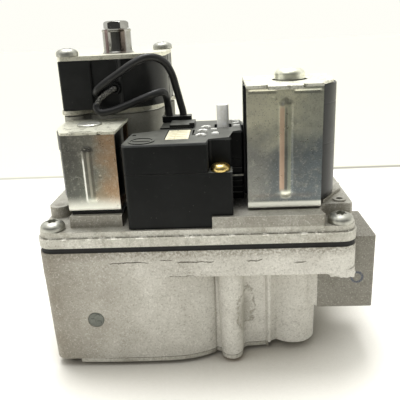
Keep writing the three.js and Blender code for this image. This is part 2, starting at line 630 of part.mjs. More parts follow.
['front', 'rear'].forEach((place, i) => {
  const screw = panScrew(4.1, 3.0, 1.7, 29);
  node(regulator, `regulator_screw_${place}`, screw, steel, [...DIAGONAL[i], REG_TOP_Z[1] + GAP]);
});

// Guide tube through the coil, open at the top for the adjusting nut.
node(regulator, 'regulator_tube', turned([
  [4.7, 84.3], [9.5, 84.3], [9.5, 85.6], [REG_TUBE_R, 85.6], [REG_TUBE_R, REG_TOP_Z[1] + GAP],
  [6.9, REG_TOP_Z[1] + GAP], [6.2, 109.4], [REG_TUBE_R, 110.2], [REG_TUBE_R, REG_TUBE_TOP - 0.7],
  [REG_TUBE_R - 0.5, REG_TUBE_TOP], [4.7, REG_TUBE_TOP], [4.7, 84.3],
], 20), chrome);

// The 8 mm across-flats maximum nut screws into the tube; the minimum screw runs inside it.
const NUT_Z = REG_TUBE_TOP + 0.3;
node(regulator, 'max_adjusting_nut', carve(
  [
    new THREE.CylinderGeometry(4.62, 4.62, 2.8, 6).rotateX(Math.PI / 2).translate(0, 0, NUT_Z + 1.4),
    barZ(0, 0, 4.4, 107, NUT_Z + 0.2),
  ],
  [barZ(0, 0, 2.5, 106, NUT_Z + 4, 20)],
), steel);

node(regulator, 'min_adjusting_screw', carve(
  [barZ(0, 0, 2.3, 104.5, NUT_Z + 2.2, 18)],
  [box(-3, 3, -0.4, 0.4, NUT_Z + 1.2, NUT_Z + 3)],
), brass);

node(regulator, 'regulator_armature', turned([
  [0, 69.2], [7, 69.2], [7, 70.2], [1.5, 70.4], [1.5, 80], [4.3, 80], [4.3, 97], [0, 97],
], 20), steel);
node(regulator, 'regulator_spring', spring(2.9, 0.35, 97 + GAP, 104.5 - GAP, 4), steel);
node(regulator, 'regulator_diaphragm', turned([
  [0, 68.4], [8, 68.4], [10, 67.2], [12.7, 67.2], [12.7, 67.9], [10.4, 67.9], [8.2, 69.0], [0, 69.0],
], 28), rubber);

// ---- connection box --------------------------------------------------------------------------

// In plan the box steps back round its screw, widens behind, and is notched for the regulator.
const boxCorner = [BOX_SCREW_AXIS[0] - 3.8, BOX_SCREW_AXIS[1] + 3.7];
function boxOutline(inset, notched) {
  const shape = new THREE.Shape();
  shape.moveTo(BOX.x0 + inset, BOX.y0 + inset);
  if (notched) {
    shape.lineTo(boxCorner[0] - inset, BOX.y0 + inset);
    shape.lineTo(boxCorner[0] - inset, boxCorner[1] + inset);
    shape.lineTo(BOX.x1 - inset, boxCorner[1] + inset);
  } else {
    shape.lineTo(BOX.x1 - inset, BOX.y0 + inset);
  }
  shape.lineTo(BOX.x1 - inset, -18.2 + inset);
  shape.lineTo(BOX.xRear - inset, -18.2 + inset);
  shape.lineTo(BOX.xRear - inset, BOX.y1 - inset);
  shape.lineTo(-12.6 + inset, BOX.y1 - inset);
  shape.lineTo(-12.6 + inset, -8 - inset);
  shape.quadraticCurveTo(-12.6 + inset, -14 - inset, -16.5, -14.2 - inset);
  shape.lineTo(BOX.x0 + inset, -15.6 - inset);
  return shape;
}

// The base steps up over the main deck: its floor is higher on the right.
const baseFloor = FLANGE_TOP + GAP;
const deckFloor = DECK_TOP + GAP;
const baseCuts = [
  box(6, 20, -40, 6, baseFloor - 1, deckFloor),
  box(-26, 20, 5, 8, baseFloor - 1, deckFloor),
  prism(boxOutline(BOX_WALL, true), deckFloor + BOX_WALL, BOX_SEAM + 1, 4),
  barZ(...BOX_SCREW_AXIS, 1.9, 56.8, BOX_SEAM + 1, 12),
  barZ(...POST_AXIS, 2.6, 50, 90, 16),
];
const baseBlock = prism(boxOutline(0, false), baseFloor, BOX_SEAM - GAP, 4);
node(valve, 'box_base', carve([baseBlock], baseCuts), blackPlastic);

const PLUG = [-9.2, -0.8, -29.2, -11.8];
const lidCuts = [
  prism(boxOutline(BOX_WALL, true), BOX_SEAM - 1, BOX_TOP - BOX_WALL, 4),
  prism(roundedRect(...PLUG, 0.4), BOX_TOP - 3, BOX_TOP + 1, 2),
  prism(roundedRect(POST_AXIS[0] - 3.1, POST_AXIS[0] + 3.1, -10.9, -3.9, 0.6), BOX_TOP - 3, BOX_TOP + 1, 2),
];
const lidBlock = prism(boxOutline(0, true), BOX_SEAM + GAP, BOX_TOP, 4);
node(valve, 'box_lid', carve([lidBlock], lidCuts), blackPlastic);

node(valve, 'box_screw', panScrew(3.3, 2.4, 1.6, 13), brass, [...BOX_SCREW_AXIS, BOX_SEAM]);

const PLUG_PLAY = 0.25;
const TERMINAL_PITCH = 3;
const plugBlock = box(
  PLUG[0] + PLUG_PLAY, PLUG[1] - PLUG_PLAY, PLUG[2] + PLUG_PLAY, PLUG[3] - PLUG_PLAY, 74, BOX_TOP - 0.2,
);
const plugGrooves = [-2, -1, 0, 1, 2].map((i) => {
  const y = (PLUG[2] + PLUG[3]) / 2 + i * TERMINAL_PITCH;
  return box(PLUG[0] + 1.2, PLUG[1] - 1.2, y - 0.5, y + 0.5, BOX_TOP - 1.6, BOX_TOP + 1);
});
node(valve, 'plug_insert', carve([plugBlock], plugGrooves), creamPlastic);

node(valve, 'plug_post', barZ(...POST_AXIS, 2.2, FLANGE_TOP - 2, 89.1, 20), steel);

// Cable clamp: a low block behind the plug and a bar across it that holds the two leads.
const CLAMP_BAR = { x0: -12.7, x1: -1.4, y0: 0, y1: 5.0, z0: 82.1, z1: 84.2 };
const LEAD_EXITS = [[-4.6, 2.5], [-10, 2.5]];
const clampBar = roundedRect(CLAMP_BAR.x0, CLAMP_BAR.x1, CLAMP_BAR.y0, CLAMP_BAR.y1, 0.8);
node(valve, 'cable_clamp', carve(
  [
    box(-8.9, 0.2, -10.4, 2, BOX_TOP + GAP, 82.7),
    prism(clampBar, CLAMP_BAR.z0, CLAMP_BAR.z1, 3),
    box(-12.1, -2, 0.5, 4.6, BOX_TOP + GAP, 82.5),
  ],
  LEAD_EXITS.map(([x, y]) => barZ(x, y, LEAD_R + 0.3, 82.9, 86, 12)),
), blackPlastic);

// A tab terminal that stands out of the box's right side.
node(valve, 'earth_tab', box(13.5, 17.6, -19.4, -18.5, 65, 65.8), steel);

// ---- leads -----------------------------------------------------------------------------------

function lead(points) {
  const route = new THREE.CatmullRomCurve3(points.map((p) => new THREE.Vector3(...p)), false, 'centripetal');
  const section = new THREE.Shape();
  section.absarc(0, 0, LEAD_R, 0, Math.PI * 2, false);
  return new THREE.ExtrudeGeometry(section, { steps: 26, curveSegments: 4, extrudePath: route });
}

node(valve, 'lead_upper', lead([
  [-4.6, 2.5, 83.2], [-4.7, 2.5, 85.5], [-5.3, 2, 88.5], [-6.4, 0.5, 94.1],
  [-7.9, -2.4, 101], [-9.9, -4.6, 104.8], [-12.7, -6.4, 106.6], [-16.4, -7.7, 106.9],
  [-20.8, -8.6, 105.2], [-26.5, -8.8, 101.8], [-32.1, -8.6, 98.4], [-34.9, -7.9, 96.3],
  [-35.6, -6.6, 95.2], [-35.6, -4.9, 95],
]), leadCover);

node(valve, 'lead_lower', lead([
  [-10, 2.5, 83.2], [-10.1, 2.5, 85.5], [-10.3, 2.2, 88.4], [-10.5, -0.4, 92],
  [-11.3, -4.4, 94.2], [-14.2, -7.2, 93.9], [-19.4, -8.6, 92.2], [-25, -9.3, 90.2],
  [-30.6, -9.6, 88.6], [-34.4, -9.4, 88.5], [-35.6, -8.9, 90.2], [-34.3, -8.4, 92.7],
  [-31.6, -7.6, 94.9], [-29.6, -6.4, 96], [-29, -4.9, 96.2],
]), leadCover);

// ---- pressure test nipples on the rear face --------------------------------------------------

for (const [name, x] of [['inlet', NIPPLE.inletX], ['outlet', NIPPLE.outletX]]) {
  const nipple = carve([turned([
    [0, -NIPPLE.shank], [NIPPLE.shankR, -NIPPLE.shank], [NIPPLE.shankR, 0], [5, 0], [5, 1.6], [4.2, 2],
    [4.2, 6.2], [4.6, 6.8], [4.2, 8], [0, 8],
  ], 14)], [barZ(0, 0, 2.6, -NIPPLE.shank + 1, 9, 10)]);
  const screw = carve([barZ(0, 0, 2.3, -2.5, 6.6, 10)], [box(-3, 3, -0.4, 0.4, 5.6, 8)]);
  const place = [x, NIPPLE.y0 + GAP, NIPPLE.z];
  node(valve, `${name}_test_nipple`, nipple.rotateX(-Math.PI / 2), brass, place);
  node(valve, `${name}_test_screw`, screw.rotateX(-Math.PI / 2), steel, place);
}

export default valve;
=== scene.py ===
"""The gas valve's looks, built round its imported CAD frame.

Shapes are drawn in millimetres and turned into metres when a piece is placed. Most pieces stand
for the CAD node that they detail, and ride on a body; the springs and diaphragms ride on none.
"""
import json
import math
import random
from collections import namedtuple

import bmesh
import bpy
from mathutils import Matrix, Vector, noise


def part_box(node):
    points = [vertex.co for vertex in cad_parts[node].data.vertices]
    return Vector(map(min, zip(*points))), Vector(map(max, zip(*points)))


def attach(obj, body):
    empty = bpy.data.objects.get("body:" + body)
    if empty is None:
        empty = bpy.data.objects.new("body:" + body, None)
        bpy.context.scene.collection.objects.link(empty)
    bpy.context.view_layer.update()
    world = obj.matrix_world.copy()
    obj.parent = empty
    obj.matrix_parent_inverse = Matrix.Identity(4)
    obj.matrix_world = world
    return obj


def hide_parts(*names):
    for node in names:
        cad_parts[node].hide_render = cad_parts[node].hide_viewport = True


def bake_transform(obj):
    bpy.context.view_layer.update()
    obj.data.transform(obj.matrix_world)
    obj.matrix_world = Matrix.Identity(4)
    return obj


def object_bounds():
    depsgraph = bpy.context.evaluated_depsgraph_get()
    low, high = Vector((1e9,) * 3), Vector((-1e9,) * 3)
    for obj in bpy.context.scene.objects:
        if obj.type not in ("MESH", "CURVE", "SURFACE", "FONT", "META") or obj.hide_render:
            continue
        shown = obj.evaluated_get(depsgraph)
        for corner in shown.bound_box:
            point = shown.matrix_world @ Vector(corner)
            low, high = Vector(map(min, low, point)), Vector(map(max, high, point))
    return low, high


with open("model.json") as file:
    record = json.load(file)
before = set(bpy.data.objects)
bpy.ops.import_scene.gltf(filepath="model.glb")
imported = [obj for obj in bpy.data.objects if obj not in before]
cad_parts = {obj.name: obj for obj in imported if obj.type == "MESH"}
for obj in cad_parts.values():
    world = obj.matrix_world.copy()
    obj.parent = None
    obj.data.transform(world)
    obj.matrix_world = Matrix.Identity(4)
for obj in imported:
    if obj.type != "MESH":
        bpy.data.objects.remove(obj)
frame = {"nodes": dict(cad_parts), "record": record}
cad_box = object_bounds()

NOISE_SEED = 2
noise.seed_set(NOISE_SEED)

MM = 0.001
BODY = "valve_body"
REG_AXIS = (-30.3, 15)
MAIN_AXIS = (34.2, -14.5)
SERVO_AXIS = (-36.8, -17)


def in_scene(name, data):
    """A new object of the scene."""
    thing = bpy.data.objects.new(name, data)
    bpy.context.scene.collection.objects.link(thing)
    return thing


# ---- camera ----------------------------------------------------------------------------------

CAMERA_AT = Vector((11.31, -198.14, 116.34)) * MM
YAW, PITCH, ROLL = 0.055, 0.323, 0.048
LENS = 46.4


def make_camera():
    ahead = Vector(
        (-math.sin(YAW) * math.cos(PITCH), math.cos(YAW) * math.cos(PITCH), -math.sin(PITCH)),
    )
    right = Vector((math.cos(YAW), math.sin(YAW), 0))
    up = right.cross(ahead)
    across = math.cos(ROLL) * right - math.sin(ROLL) * up
    upward = math.sin(ROLL) * right + math.cos(ROLL) * up
    data = bpy.data.cameras.new("camera")
    data.lens = LENS
    data.clip_start = 0.01
    camera = in_scene("camera", data)
    turn = Matrix((across, upward, -ahead)).transposed().to_4x4()
    camera.matrix_world = Matrix.Translation(CAMERA_AT) @ turn
    bpy.context.scene.camera = camera


make_camera()


# ---- leads -----------------------------------------------------------------------------------

LEAD_D = 2.8

# Routes of the two leads from the cable clamp to the regulator's coil, as in the CAD model.
LEAD_UPPER = [
    (-4.6, 2.5, 83.2), (-4.7, 2.5, 85.5), (-5.3, 2, 88.5), (-6.4, 0.5, 94.1),
    (-7.9, -2.4, 101), (-9.9, -4.6, 104.8), (-12.7, -6.4, 106.6), (-16.4, -7.7, 106.9),
    (-20.8, -8.6, 105.2), (-26.5, -8.8, 101.8), (-32.1, -8.6, 98.4), (-34.9, -7.9, 96.3),
    (-35.6, -6.6, 95.2), (-35.6, -4.9, 95),
]
LEAD_LOWER = [
    (-10, 2.5, 83.2), (-10.1, 2.5, 85.5), (-10.3, 2.2, 88.4), (-10.5, -0.4, 92),
    (-11.3, -4.4, 94.2), (-14.2, -7.2, 93.9), (-19.4, -8.6, 92.2), (-25, -9.3, 90.2),
    (-30.6, -9.6, 88.6), (-34.4, -9.4, 88.5), (-35.6, -8.9, 90.2), (-34.3, -8.4, 92.7),
    (-31.6, -7.6, 94.9), (-29.6, -6.4, 96), (-29, -4.9, 96.2),
]


def smooth_route(points, steps=8):
    """Points along a centripetal Catmull-Rom curve through the given ones."""
    known = [Vector(p) for p in points]
    padded = [2 * known[0] - known[1], *known, 2 * known[-1] - known[-2]]
    route = []
    for p0, p1, p2, p3 in zip(padded, padded[1:], padded[2:], padded[3:]):
        t1 = (p1 - p0).length ** 0.5
        t2 = t1 + (p2 - p1).length ** 0.5
        t3 = t2 + (p3 - p2).length ** 0.5
        for i in range(steps):
            t = t1 + (t2 - t1) * i / steps
            a1 = p0.lerp(p1, t / t1)
            a2 = p1.lerp(p2, (t - t1) / (t2 - t1))
            a3 = p2.lerp(p3, (t - t2) / (t3 - t2))
            b1 = a1.lerp(a2, t / t2)
            b2 = a2.lerp(a3, (t - t1) / (t3 - t1))
            route.append(b1.lerp(b2, (t - t1) / (t2 - t1)))
    return [*route, known[-1]]


def tube(name, route, diameter, slim_end=0):
    """A round cord along a route given in millimetres; its last points may be slimmer."""
    data = bpy.data.curves.new(name, "CURVE")
    data.dimensions = "3D"
    data.bevel_depth = diameter / 2 * MM
    data.bevel_resolution = 5
    data.use_fill_caps = True
    spline = data.splines.new("POLY")
    spline.points.add(len(route) - 1)
    for i, (point, place) in enumerate(zip(spline.points, route)):
        point.co = (*(Vector(place) * MM), 1)
        point.radius = 0.6 if i > len(route) - slim_end else 1.0
    spline.use_smooth = True
    return in_scene(name, data)


def make_leads(sheath, sleeve):
    for name, points in (("lead_upper", LEAD_UPPER), ("lead_lower", LEAD_LOWER)):
        route = smooth_route(points)
        piece = tube(f"{name}_sheath", route, LEAD_D, slim_end=30 if name == "lead_lower" else 0)
        piece.data.materials.append(sheath.face)
        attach(piece, BODY)
        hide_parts(name)
        others = [make_sleeve(route[-33:], sleeve)] if name == "lead_lower" else []


def make_sleeve(route, look):
    """A short shrunk sleeve on the lower lead's end, with the ribs of a braid showing through."""
    bm = bmesh.new()
    sides, rings = 12, []
    for i, centre in enumerate(route):
        ahead = (route[min(i + 1, len(route) - 1)] - route[max(i - 1, 0)]).normalized()
        side = ahead.cross(Vector((0, 0, 1))).normalized()
        up = side.cross(ahead)
        radius = 0.95 + 0.08 * (i % 2)
        turns = [2 * math.pi * (k + 0.5 * (i % 2)) / sides for k in range(sides)]
        rings.append([
            bm.verts.new(centre + radius * (math.cos(a) * side + math.sin(a) * up)) for a in turns
        ])
    walls(bm, rings)
    bm.faces.new(rings[0][::-1])
    bm.faces.new(rings[-1])
    return place("lead_lower_sleeve", bm, look)


# ---- mesh helpers ----------------------------------------------------------------------------

SMOOTH_BELOW = math.radians(38)


def span(node):
    """Lowest and highest corner of a CAD node, in millimetres."""
    low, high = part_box(node)
    return low / MM, high / MM


def arc(cx, cy, radius, start, end, steps=6):
    """Points on an arc, angles in degrees."""
    angles = [math.radians(start + (end - start) * i / steps) for i in range(steps + 1)]
    return [(cx + radius * math.cos(a), cy + radius * math.sin(a)) for a in angles]


def rounded(x0, x1, y0, y1, radius, steps=5):
    """A rectangle with rounded corners."""
    return [
        *arc(x1 - radius, y0 + radius, radius, -90, 0, steps),
        *arc(x1 - radius, y1 - radius, radius, 0, 90, steps),
        *arc(x0 + radius, y1 - radius, radius, 90, 180, steps),
        *arc(x0 + radius, y0 + radius, radius, 180, 270, steps),
    ]


def circle(cx, cy, radius, sides=32):
    return arc(cx, cy, radius, 0, 360, sides)[:-1]


def inset(outline, distance):
    """The outline with each point moved inward along its corner's bisector."""
    moved = []
    for before, (x, y), after in zip([outline[-1], *outline], outline, [*outline[1:], outline[0]]):
        a = Vector((x - before[0], y - before[1])).normalized()
        b = Vector((after[0] - x, after[1] - y)).normalized()
        inward = Vector((-a.y - b.y, a.x + b.x))
        if inward.length < 1e-6:
            inward = Vector((-a.y, a.x))
        inward.normalize()
        reach = distance / max(0.5, inward.dot(Vector((-a.y, a.x))))
        moved.append((x + inward.x * reach, y + inward.y * reach))
    return moved


def middle(node):
    low, high = span(node)
    return (low + high) / 2


def diagonal(distance):
    """The same distance along both axes, to either side of the centre."""
    return ((-distance, -distance), (distance, distance))


def angles(*degrees):
    return [math.radians(d) for d in degrees]


def soften(bm, width, steps=2, least=32):
    """Rounds the sharp edges. The rounded faces take the second material, the edge one, which on
    most looks is paler: wear and painted highlight.
    """
    sharp = [
        e for e in bm.edges if len(e.link_faces) == 2 and math.degrees(e.calc_face_angle()) > least
    ]
    if width > 0 and sharp:
        bmesh.ops.bevel(
            bm, geom=sharp, offset=width, segments=steps, profile=0.5, affect="EDGES",
            clamp_overlap=True, material=1,
        )
    return bm


def walls(bm, rings):
    """Faces from each closed ring of corners to the next."""
    for low, high in zip(rings, rings[1:]):
        for k in range(len(low)):
            corners = list(dict.fromkeys((low[k - 1], low[k], high[k], high[k - 1])))
            if len(corners) > 2:
                bm.faces.new(corners)


def slab(outline, z0, z1, edge=0.3, draft=0.0, steps=2):
    """A plate of that outline, drawn in at the bottom by the draft."""
    bm = bmesh.new()
    low = [bm.verts.new((x, y, z0)) for x, y in (inset(outline, draft) if draft else outline)]
    high = [bm.verts.new((x, y, z1)) for x, y in outline]
    bm.faces.new(low[::-1])
    bm.faces.new(high)
    walls(bm, [low, high])
    return soften(bm, edge, steps)


def rod(cx, cy, radius, sides, z0, z1, edge=0.0):
    return slab(circle(cx, cy, radius, sides), z0, z1, edge)


def block(x0, x1, y0, y1, z0, z1, edge=0.2):
    return slab([(x0, y0), (x1, y0), (x1, y1), (x0, y1)], z0, z1, edge)


def turned(profile, sides=48, edge=0.0):
    """A piece turned about Z from (radius, height) points, going up on the outside."""
    bm = bmesh.new()
    rings = []
    for radius, z in profile:
        if radius == 0:
            rings.append([bm.verts.new((0, 0, z))] * sides)
            continue
        angles = [2 * math.pi * k / sides for k in range(sides)]
        rings.append([
            bm.verts.new((radius * math.cos(a), radius * math.sin(a), z)) for a in angles
        ])
    if profile[0] == profile[-1]:
        bmesh.ops.delete(bm, geom=list(dict.fromkeys(rings[-1])), context="VERTS")
        rings[-1] = rings[0]
    walls(bm, rings)
    return soften(bm, edge)


def moved(bm, x=0, y=0, z=0, turn=None):
    if turn:
        bm.transform(turn)
    bm.transform(Matrix.Translation((x, y, z)))
    return bm


def turn_about(letter, angle):
    return Matrix.Rotation(math.radians(angle), 4, letter)


def tilted(bm, angle):
    return moved(bm, turn=turn_about("Z", angle))


ONTO_RIGHT, ONTO_LEFT = turn_about("Y", 90), turn_about("Y", -90)
ONTO_REAR, ONTO_FRONT = turn_about("X", -90), turn_about("X", 90)
UPSIDE_DOWN = turn_about("X", 180)

Look = namedtuple("Look", "slot face edge")


def dress(mesh, look):
    for material in (look.face, look.edge):
        mesh.materials.append(material)


def temporary(bm, look):
    mesh = bpy.data.meshes.new("temporary")
    bm.to_mesh(mesh)
    bm.free()
    dress(mesh, look)
    return in_scene("temporary", mesh)


def carved(adds, cuts, look):
    """Joins the first list of shapes, cuts the second from it, and returns the result's bmesh."""
    things = [temporary(bm, look) for bm in (*adds, *cuts)]
    whole = things[0]
    for i, other in enumerate(things[1:], 1):
        modifier = whole.modifiers.new("boolean", "BOOLEAN")
        modifier.operation = "UNION" if i < len(adds) else "DIFFERENCE"
        modifier.solver = "MANIFOLD"
        modifier.object = other
    bpy.context.view_layer.update()
    evaluated = whole.evaluated_get(bpy.context.evaluated_depsgraph_get())
    result = bmesh.new()
    result.from_mesh(evaluated.to_mesh())
    evaluated.to_mesh_clear()
    for thing in things:
        mesh = thing.data
        bpy.data.objects.remove(thing)
        bpy.data.meshes.remove(mesh)
    bmesh.ops.remove_doubles(result, verts=result.verts, dist=1e-4)
    return result


def place(name, bm, look, stands_for=None, body=BODY):
    """Turns a shape in millimetres into a piece in metres that rides on its body, if it has one."""
    bmesh.ops.recalc_face_normals(bm, faces=bm.faces)
    for face in bm.faces:
        face.smooth = True
    for edge in bm.edges:
        edge.smooth = len(edge.link_faces) == 2 and edge.calc_face_angle() < SMOOTH_BELOW
    bm.transform(Matrix.Scale(MM, 4))
    mesh = bpy.data.meshes.new(name)
    bm.to_mesh(mesh)
    bm.free()
    dress(mesh, look)
    piece = in_scene(name, mesh)
    normals = piece.modifiers.new("normals", "WEIGHTED_NORMAL")
    normals.keep_sharp = True
    if body:
        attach(piece, body)
    if stands_for:
        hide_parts(stands_for)
    return piece


def form(name, look, adds, cuts=(), stands_for=None, body=BODY, at=(0, 0, 0), turn=None):
    """Carves a shape, moves it into place and makes a piece of it."""
    return place(name, moved(carved(adds, cuts, look), *at, turn=turn), look, stands_for, body)


# ---- material helpers ------------------------------------------------------------------------

class Tree:
    """A node tree and the few node patterns that the materials, the card and the room share."""

    def __init__(self, owner):
        owner.use_nodes = True
        self.nodes, self.links = owner.node_tree.nodes, owner.node_tree.links

    def link(self, source, target):
        if isinstance(source, bpy.types.NodeSocket):
            self.links.new(source, target)
        else:
            target.default_value = source

    def parts(self, vector):
        """The X, Y and Z of a vector."""
        split = self.nodes.new("ShaderNodeSeparateXYZ")
        self.link(vector, split.inputs["Vector"])
        return split.outputs

    def where(self, space="Object"):
        return self.nodes.new("ShaderNodeTexCoord").outputs[space]

    def spread(self, value, start, end, low=0.0, high=1.0, smooth=False):
        """Goes from low to high as the value goes from start to end."""
        made = self.nodes.new("ShaderNodeMapRange")
        if smooth:
            made.interpolation_type = "SMOOTHSTEP"
        self.link(value, made.inputs["Value"])
        for edge, levels in (("From", (start, end)), ("To", (low, high))):
            made.inputs[f"{edge} Min"].default_value = levels[0]
            made.inputs[f"{edge} Max"].default_value = levels[1]
        return made.outputs["Result"]

    def band(self, value, at_zero, at_one):
        """Rises smoothly from 0 to 1 as the value goes from one level to the other."""
        if at_zero > at_one:
            return self.spread(value, at_one, at_zero, 1, 0, smooth=True)
        return self.spread(value, at_zero, at_one, smooth=True)

    def math(self, operation, a, b=0.0):
        made = self.nodes.new("ShaderNodeMath")
        made.operation = operation
        self.link(a, made.inputs[0])
        self.link(b, made.inputs[1])
        return made.outputs["Value"]

    def product(self, first, *others):
        for other in others:
            first = self.math("MULTIPLY", first, other)
        return first

    def mix(self, share, a, b):
        made = self.nodes.new("ShaderNodeMix")
        made.data_type = "RGBA"
        self.link(share, made.inputs[0])
        self.link(shade(a), made.inputs[6])
        self.link(shade(b), made.inputs[7])
        return made.outputs[2]


class Surface(Tree):
    """A Principled material and the patterns that its colour, gloss and relief come from."""

    def __init__(self, name, roughness=0.5, metallic=0.0, **sockets):
        self.material = bpy.data.materials.new(name)
        super().__init__(self.material)
        self.shader = self.nodes["Principled BSDF"]
        self.shader.inputs["Roughness"].default_value = roughness
        self.shader.inputs["Metallic"].default_value = metallic
        for socket, value in sockets.items():
            self.shader.inputs[socket.replace("_", " ")].default_value = value
        self.place = self.where()
        self.relief = None

    def noise(self, size, detail=3, roughness=0.55, stretch=(1, 1, 1)):
        """Cloudy noise with features of about that size in millimetres."""
        scaled = self.nodes.new("ShaderNodeMapping")
        scaled.inputs["Scale"].default_value = stretch
        self.link(self.place, scaled.inputs["Vector"])
        made = self.nodes.new("ShaderNodeTexNoise")
        made.inputs["Scale"].default_value = 1 / (size * MM)
        made.inputs["Detail"].default_value = detail
        made.inputs["Roughness"].default_value = roughness
        self.link(scaled.outputs["Vector"], made.inputs["Vector"])
        return made.outputs["Fac"]

    def specks(self, size, share):
        """1 on small scattered specks, 0 elsewhere."""
        cells = self.nodes.new("ShaderNodeTexVoronoi")
        cells.inputs["Scale"].default_value = 1 / (size * MM)
        self.link(self.place, cells.inputs["Vector"])
        return self.band(cells.outputs["Distance"], share, share * 0.5)

    def clouds(self, at_zero, at_one, *noise):
        """1 where the noise is past the second level."""
        return self.band(self.noise(*noise), at_zero, at_one)

    def axis(self, letter):
        """One object coordinate, in millimetres."""
        return self.math("MULTIPLY", self.parts(self.place)[letter], 1 / MM)

    def along(self, letter, at_zero, at_one):
        """Rises from 0 to 1 between two places along an axis."""
        return self.band(self.axis(letter), at_zero, at_one)

    def within(self, value, centre, at_zero, at_one):
        """1 close to the centre value, 0 at the first distance from it."""
        off = self.math("ABSOLUTE", self.math("SUBTRACT", value, centre))
        return self.band(off, at_zero, at_one)

    def wander(self, value, noise, amount):
        """The value, pushed up and down by the noise."""
        return self.math("ADD", value, self.product(self.math("SUBTRACT", noise, 0.5), amount))

    def over(self, tone, colour, *shares):
        """Lays a colour over the tone, by the product of the shares."""
        return self.mix(self.product(*shares), tone, colour)

    def layers(self, tone, *coats):
        """Lays several colours over the tone, each with its shares."""
        for coat in coats:
            tone = self.over(tone, *coat)
        return tone

    def ao(self, reach):
        """1 in the open, lower in corners and crevices within that reach in millimetres."""
        made = self.nodes.new("ShaderNodeAmbientOcclusion")
        made.inputs["Distance"].default_value = reach * MM
        made.samples = 6
        return made.outputs["AO"]

    def bump(self, height, depth, strength=1.0):
        made = self.nodes.new("ShaderNodeBump")
        made.inputs["Distance"].default_value = depth * MM
        made.inputs["Strength"].default_value = strength
        self.link(height, made.inputs["Height"])
        if self.relief:
            self.link(self.relief, made.inputs["Normal"])
        self.relief = made.outputs["Normal"]
        self.link(self.relief, self.shader.inputs["Normal"])

    def gloss(self, value, low, high):
        self.link(self.spread(value, 0, 1, low, high), self.shader.inputs["Roughness"])

    def colour(self, value):
        self.link(shade(value), self.shader.inputs["Base Color"])
        return self.material


def shade(colour):
    """Turns an sRGB triple of 0 to 255 into a linear colour; a socket passes through."""
    if isinstance(colour, bpy.types.NodeSocket):
        return colour
    linear = [((c / 255 + 0.055) / 1.055) ** 2.4 if c > 10 else c / 255 / 12.92 for c in colour]
    return (*linear, 1)


# ---- materials -------------------------------------------------------------------------------

def cast_alloy(name, base, light, dark, dirt_and_shade, roughness, metallic, worn=0.0, crevice=2.5):
    """Die-cast aluminium: fine sandy grain, cloudy tone, dirt and painted shade in the corners."""
    s = Surface(name, metallic=metallic)
    grain = s.noise(0.36, 3, 0.75)
    cloud = s.noise(14, 4)
    blotch = s.noise(2.4, 4, 0.65)
    tone = s.layers(
        dark,
        (base, s.band(cloud, 0.4, 0.66), 0.6),
        (light, s.band(blotch, 0.5, 0.74), 0.3),
        (dark, s.band(grain, 0.54, 0.36), 0.7),
        (light, s.band(grain, 0.6, 0.74), 0.4),
        (dirt_and_shade, s.clouds(0.56, 0.7, 0.7, 3, 0.7), 0.3),
        (dirt_and_shade, s.clouds(0.66, 0.75, 0.9, 2), 0.45),
        (dirt_and_shade, s.clouds(0.56, 0.72, 6, 5, 0.7), 0.28),
    )
    # An edge material takes paler clouds, wear and painted highlight; a face takes dirt and painted
    # shade in its corners and crevices, by ambient occlusion.
    if worn:
        tone = s.over(tone, light, s.clouds(0.36, 0.6, 1.9, 4), worn)
    else:
        tone = s.over(tone, dirt_and_shade, s.band(s.ao(crevice), 0.7, 0.2), 0.8)
    s.gloss(blotch, roughness - 0.12, roughness + 0.12)
    s.bump(grain, 0.05, 0.6)
    s.bump(s.noise(4, 3), 0.1, 0.4)
    return s, tone


def sandy(s, tone):
    """Dark and pale grains over all the stains of a casting."""
    return s.layers(
        tone,
        ((98, 92, 78), s.clouds(0.5, 0.64, 0.75, 3, 0.75), 0.3),
        ((246, 244, 236), s.clouds(0.54, 0.68, 0.6, 3, 0.75), 0.3),
    )


def body_alloy(worn=0.0):
    s, tone = cast_alloy(
        "body_alloy_edge" if worn else "body_alloy",
        (212, 210, 202), (230, 228, 220), (182, 179, 170), (112, 105, 90), 0.62, 0.2, worn,
    )
    if not worn:
        shadow = s.wander(s.axis("X"), s.noise(9, 4), 22)
        # Painted shade: a broken darker band on the rim just under the gasket.
        shade_under_gasket = s.product(s.along("Z", 40.4, 44.2), s.clouds(0.36, 0.6, 0.9, 4, 0.7))
        # Darker blotches over the left end, towards the front.
        left_end_blotches = s.product(
            s.along("X", -46.5, -52), s.clouds(0.4, 0.62, 5, 4, 0.65), s.along("Y", -20, -34),
        )
        # The port block's front is darker, partly its greyer casting and partly painted shade under
        # the flange; stains are clouded over it.
        port_block = s.product(s.along("X", 42.9, 43.1), s.along("Y", -33, -31))
        tone = s.layers(
            tone,
            ((133, 127, 115), s.band(shadow, -14, -52), 0.8),
            # Painted light: the right part of the front, with its two columns, is lighter.
            ((238, 236, 228), s.along("X", 4, 24), 0.22),
            ((114, 108, 94), shade_under_gasket, 0.75),
            ((112, 103, 88), left_end_blotches, 0.45),
            ((112, 107, 90), oily_stain(s), 0.6),
            ((112, 109, 99), port_block, 0.85),
            ((96, 91, 80), port_block, s.clouds(0.5, 0.66, 1.8, 5, 0.75), 0.45),
            ((60, 70, 92), inspection_ring(s), 0.8),
        )
    return s.colour(sandy(s, tone))


def distance_to(s, x, z, stretch=1.0):
    """Distance from a point on the front, in millimetres."""
    dx = s.math("SUBTRACT", s.axis("X"), x)
    dz = s.product(s.math("SUBTRACT", s.axis("Z"), z), stretch)
    return s.math("SQRT", s.math("ADD", s.product(dx, dx), s.product(dz, dz)))


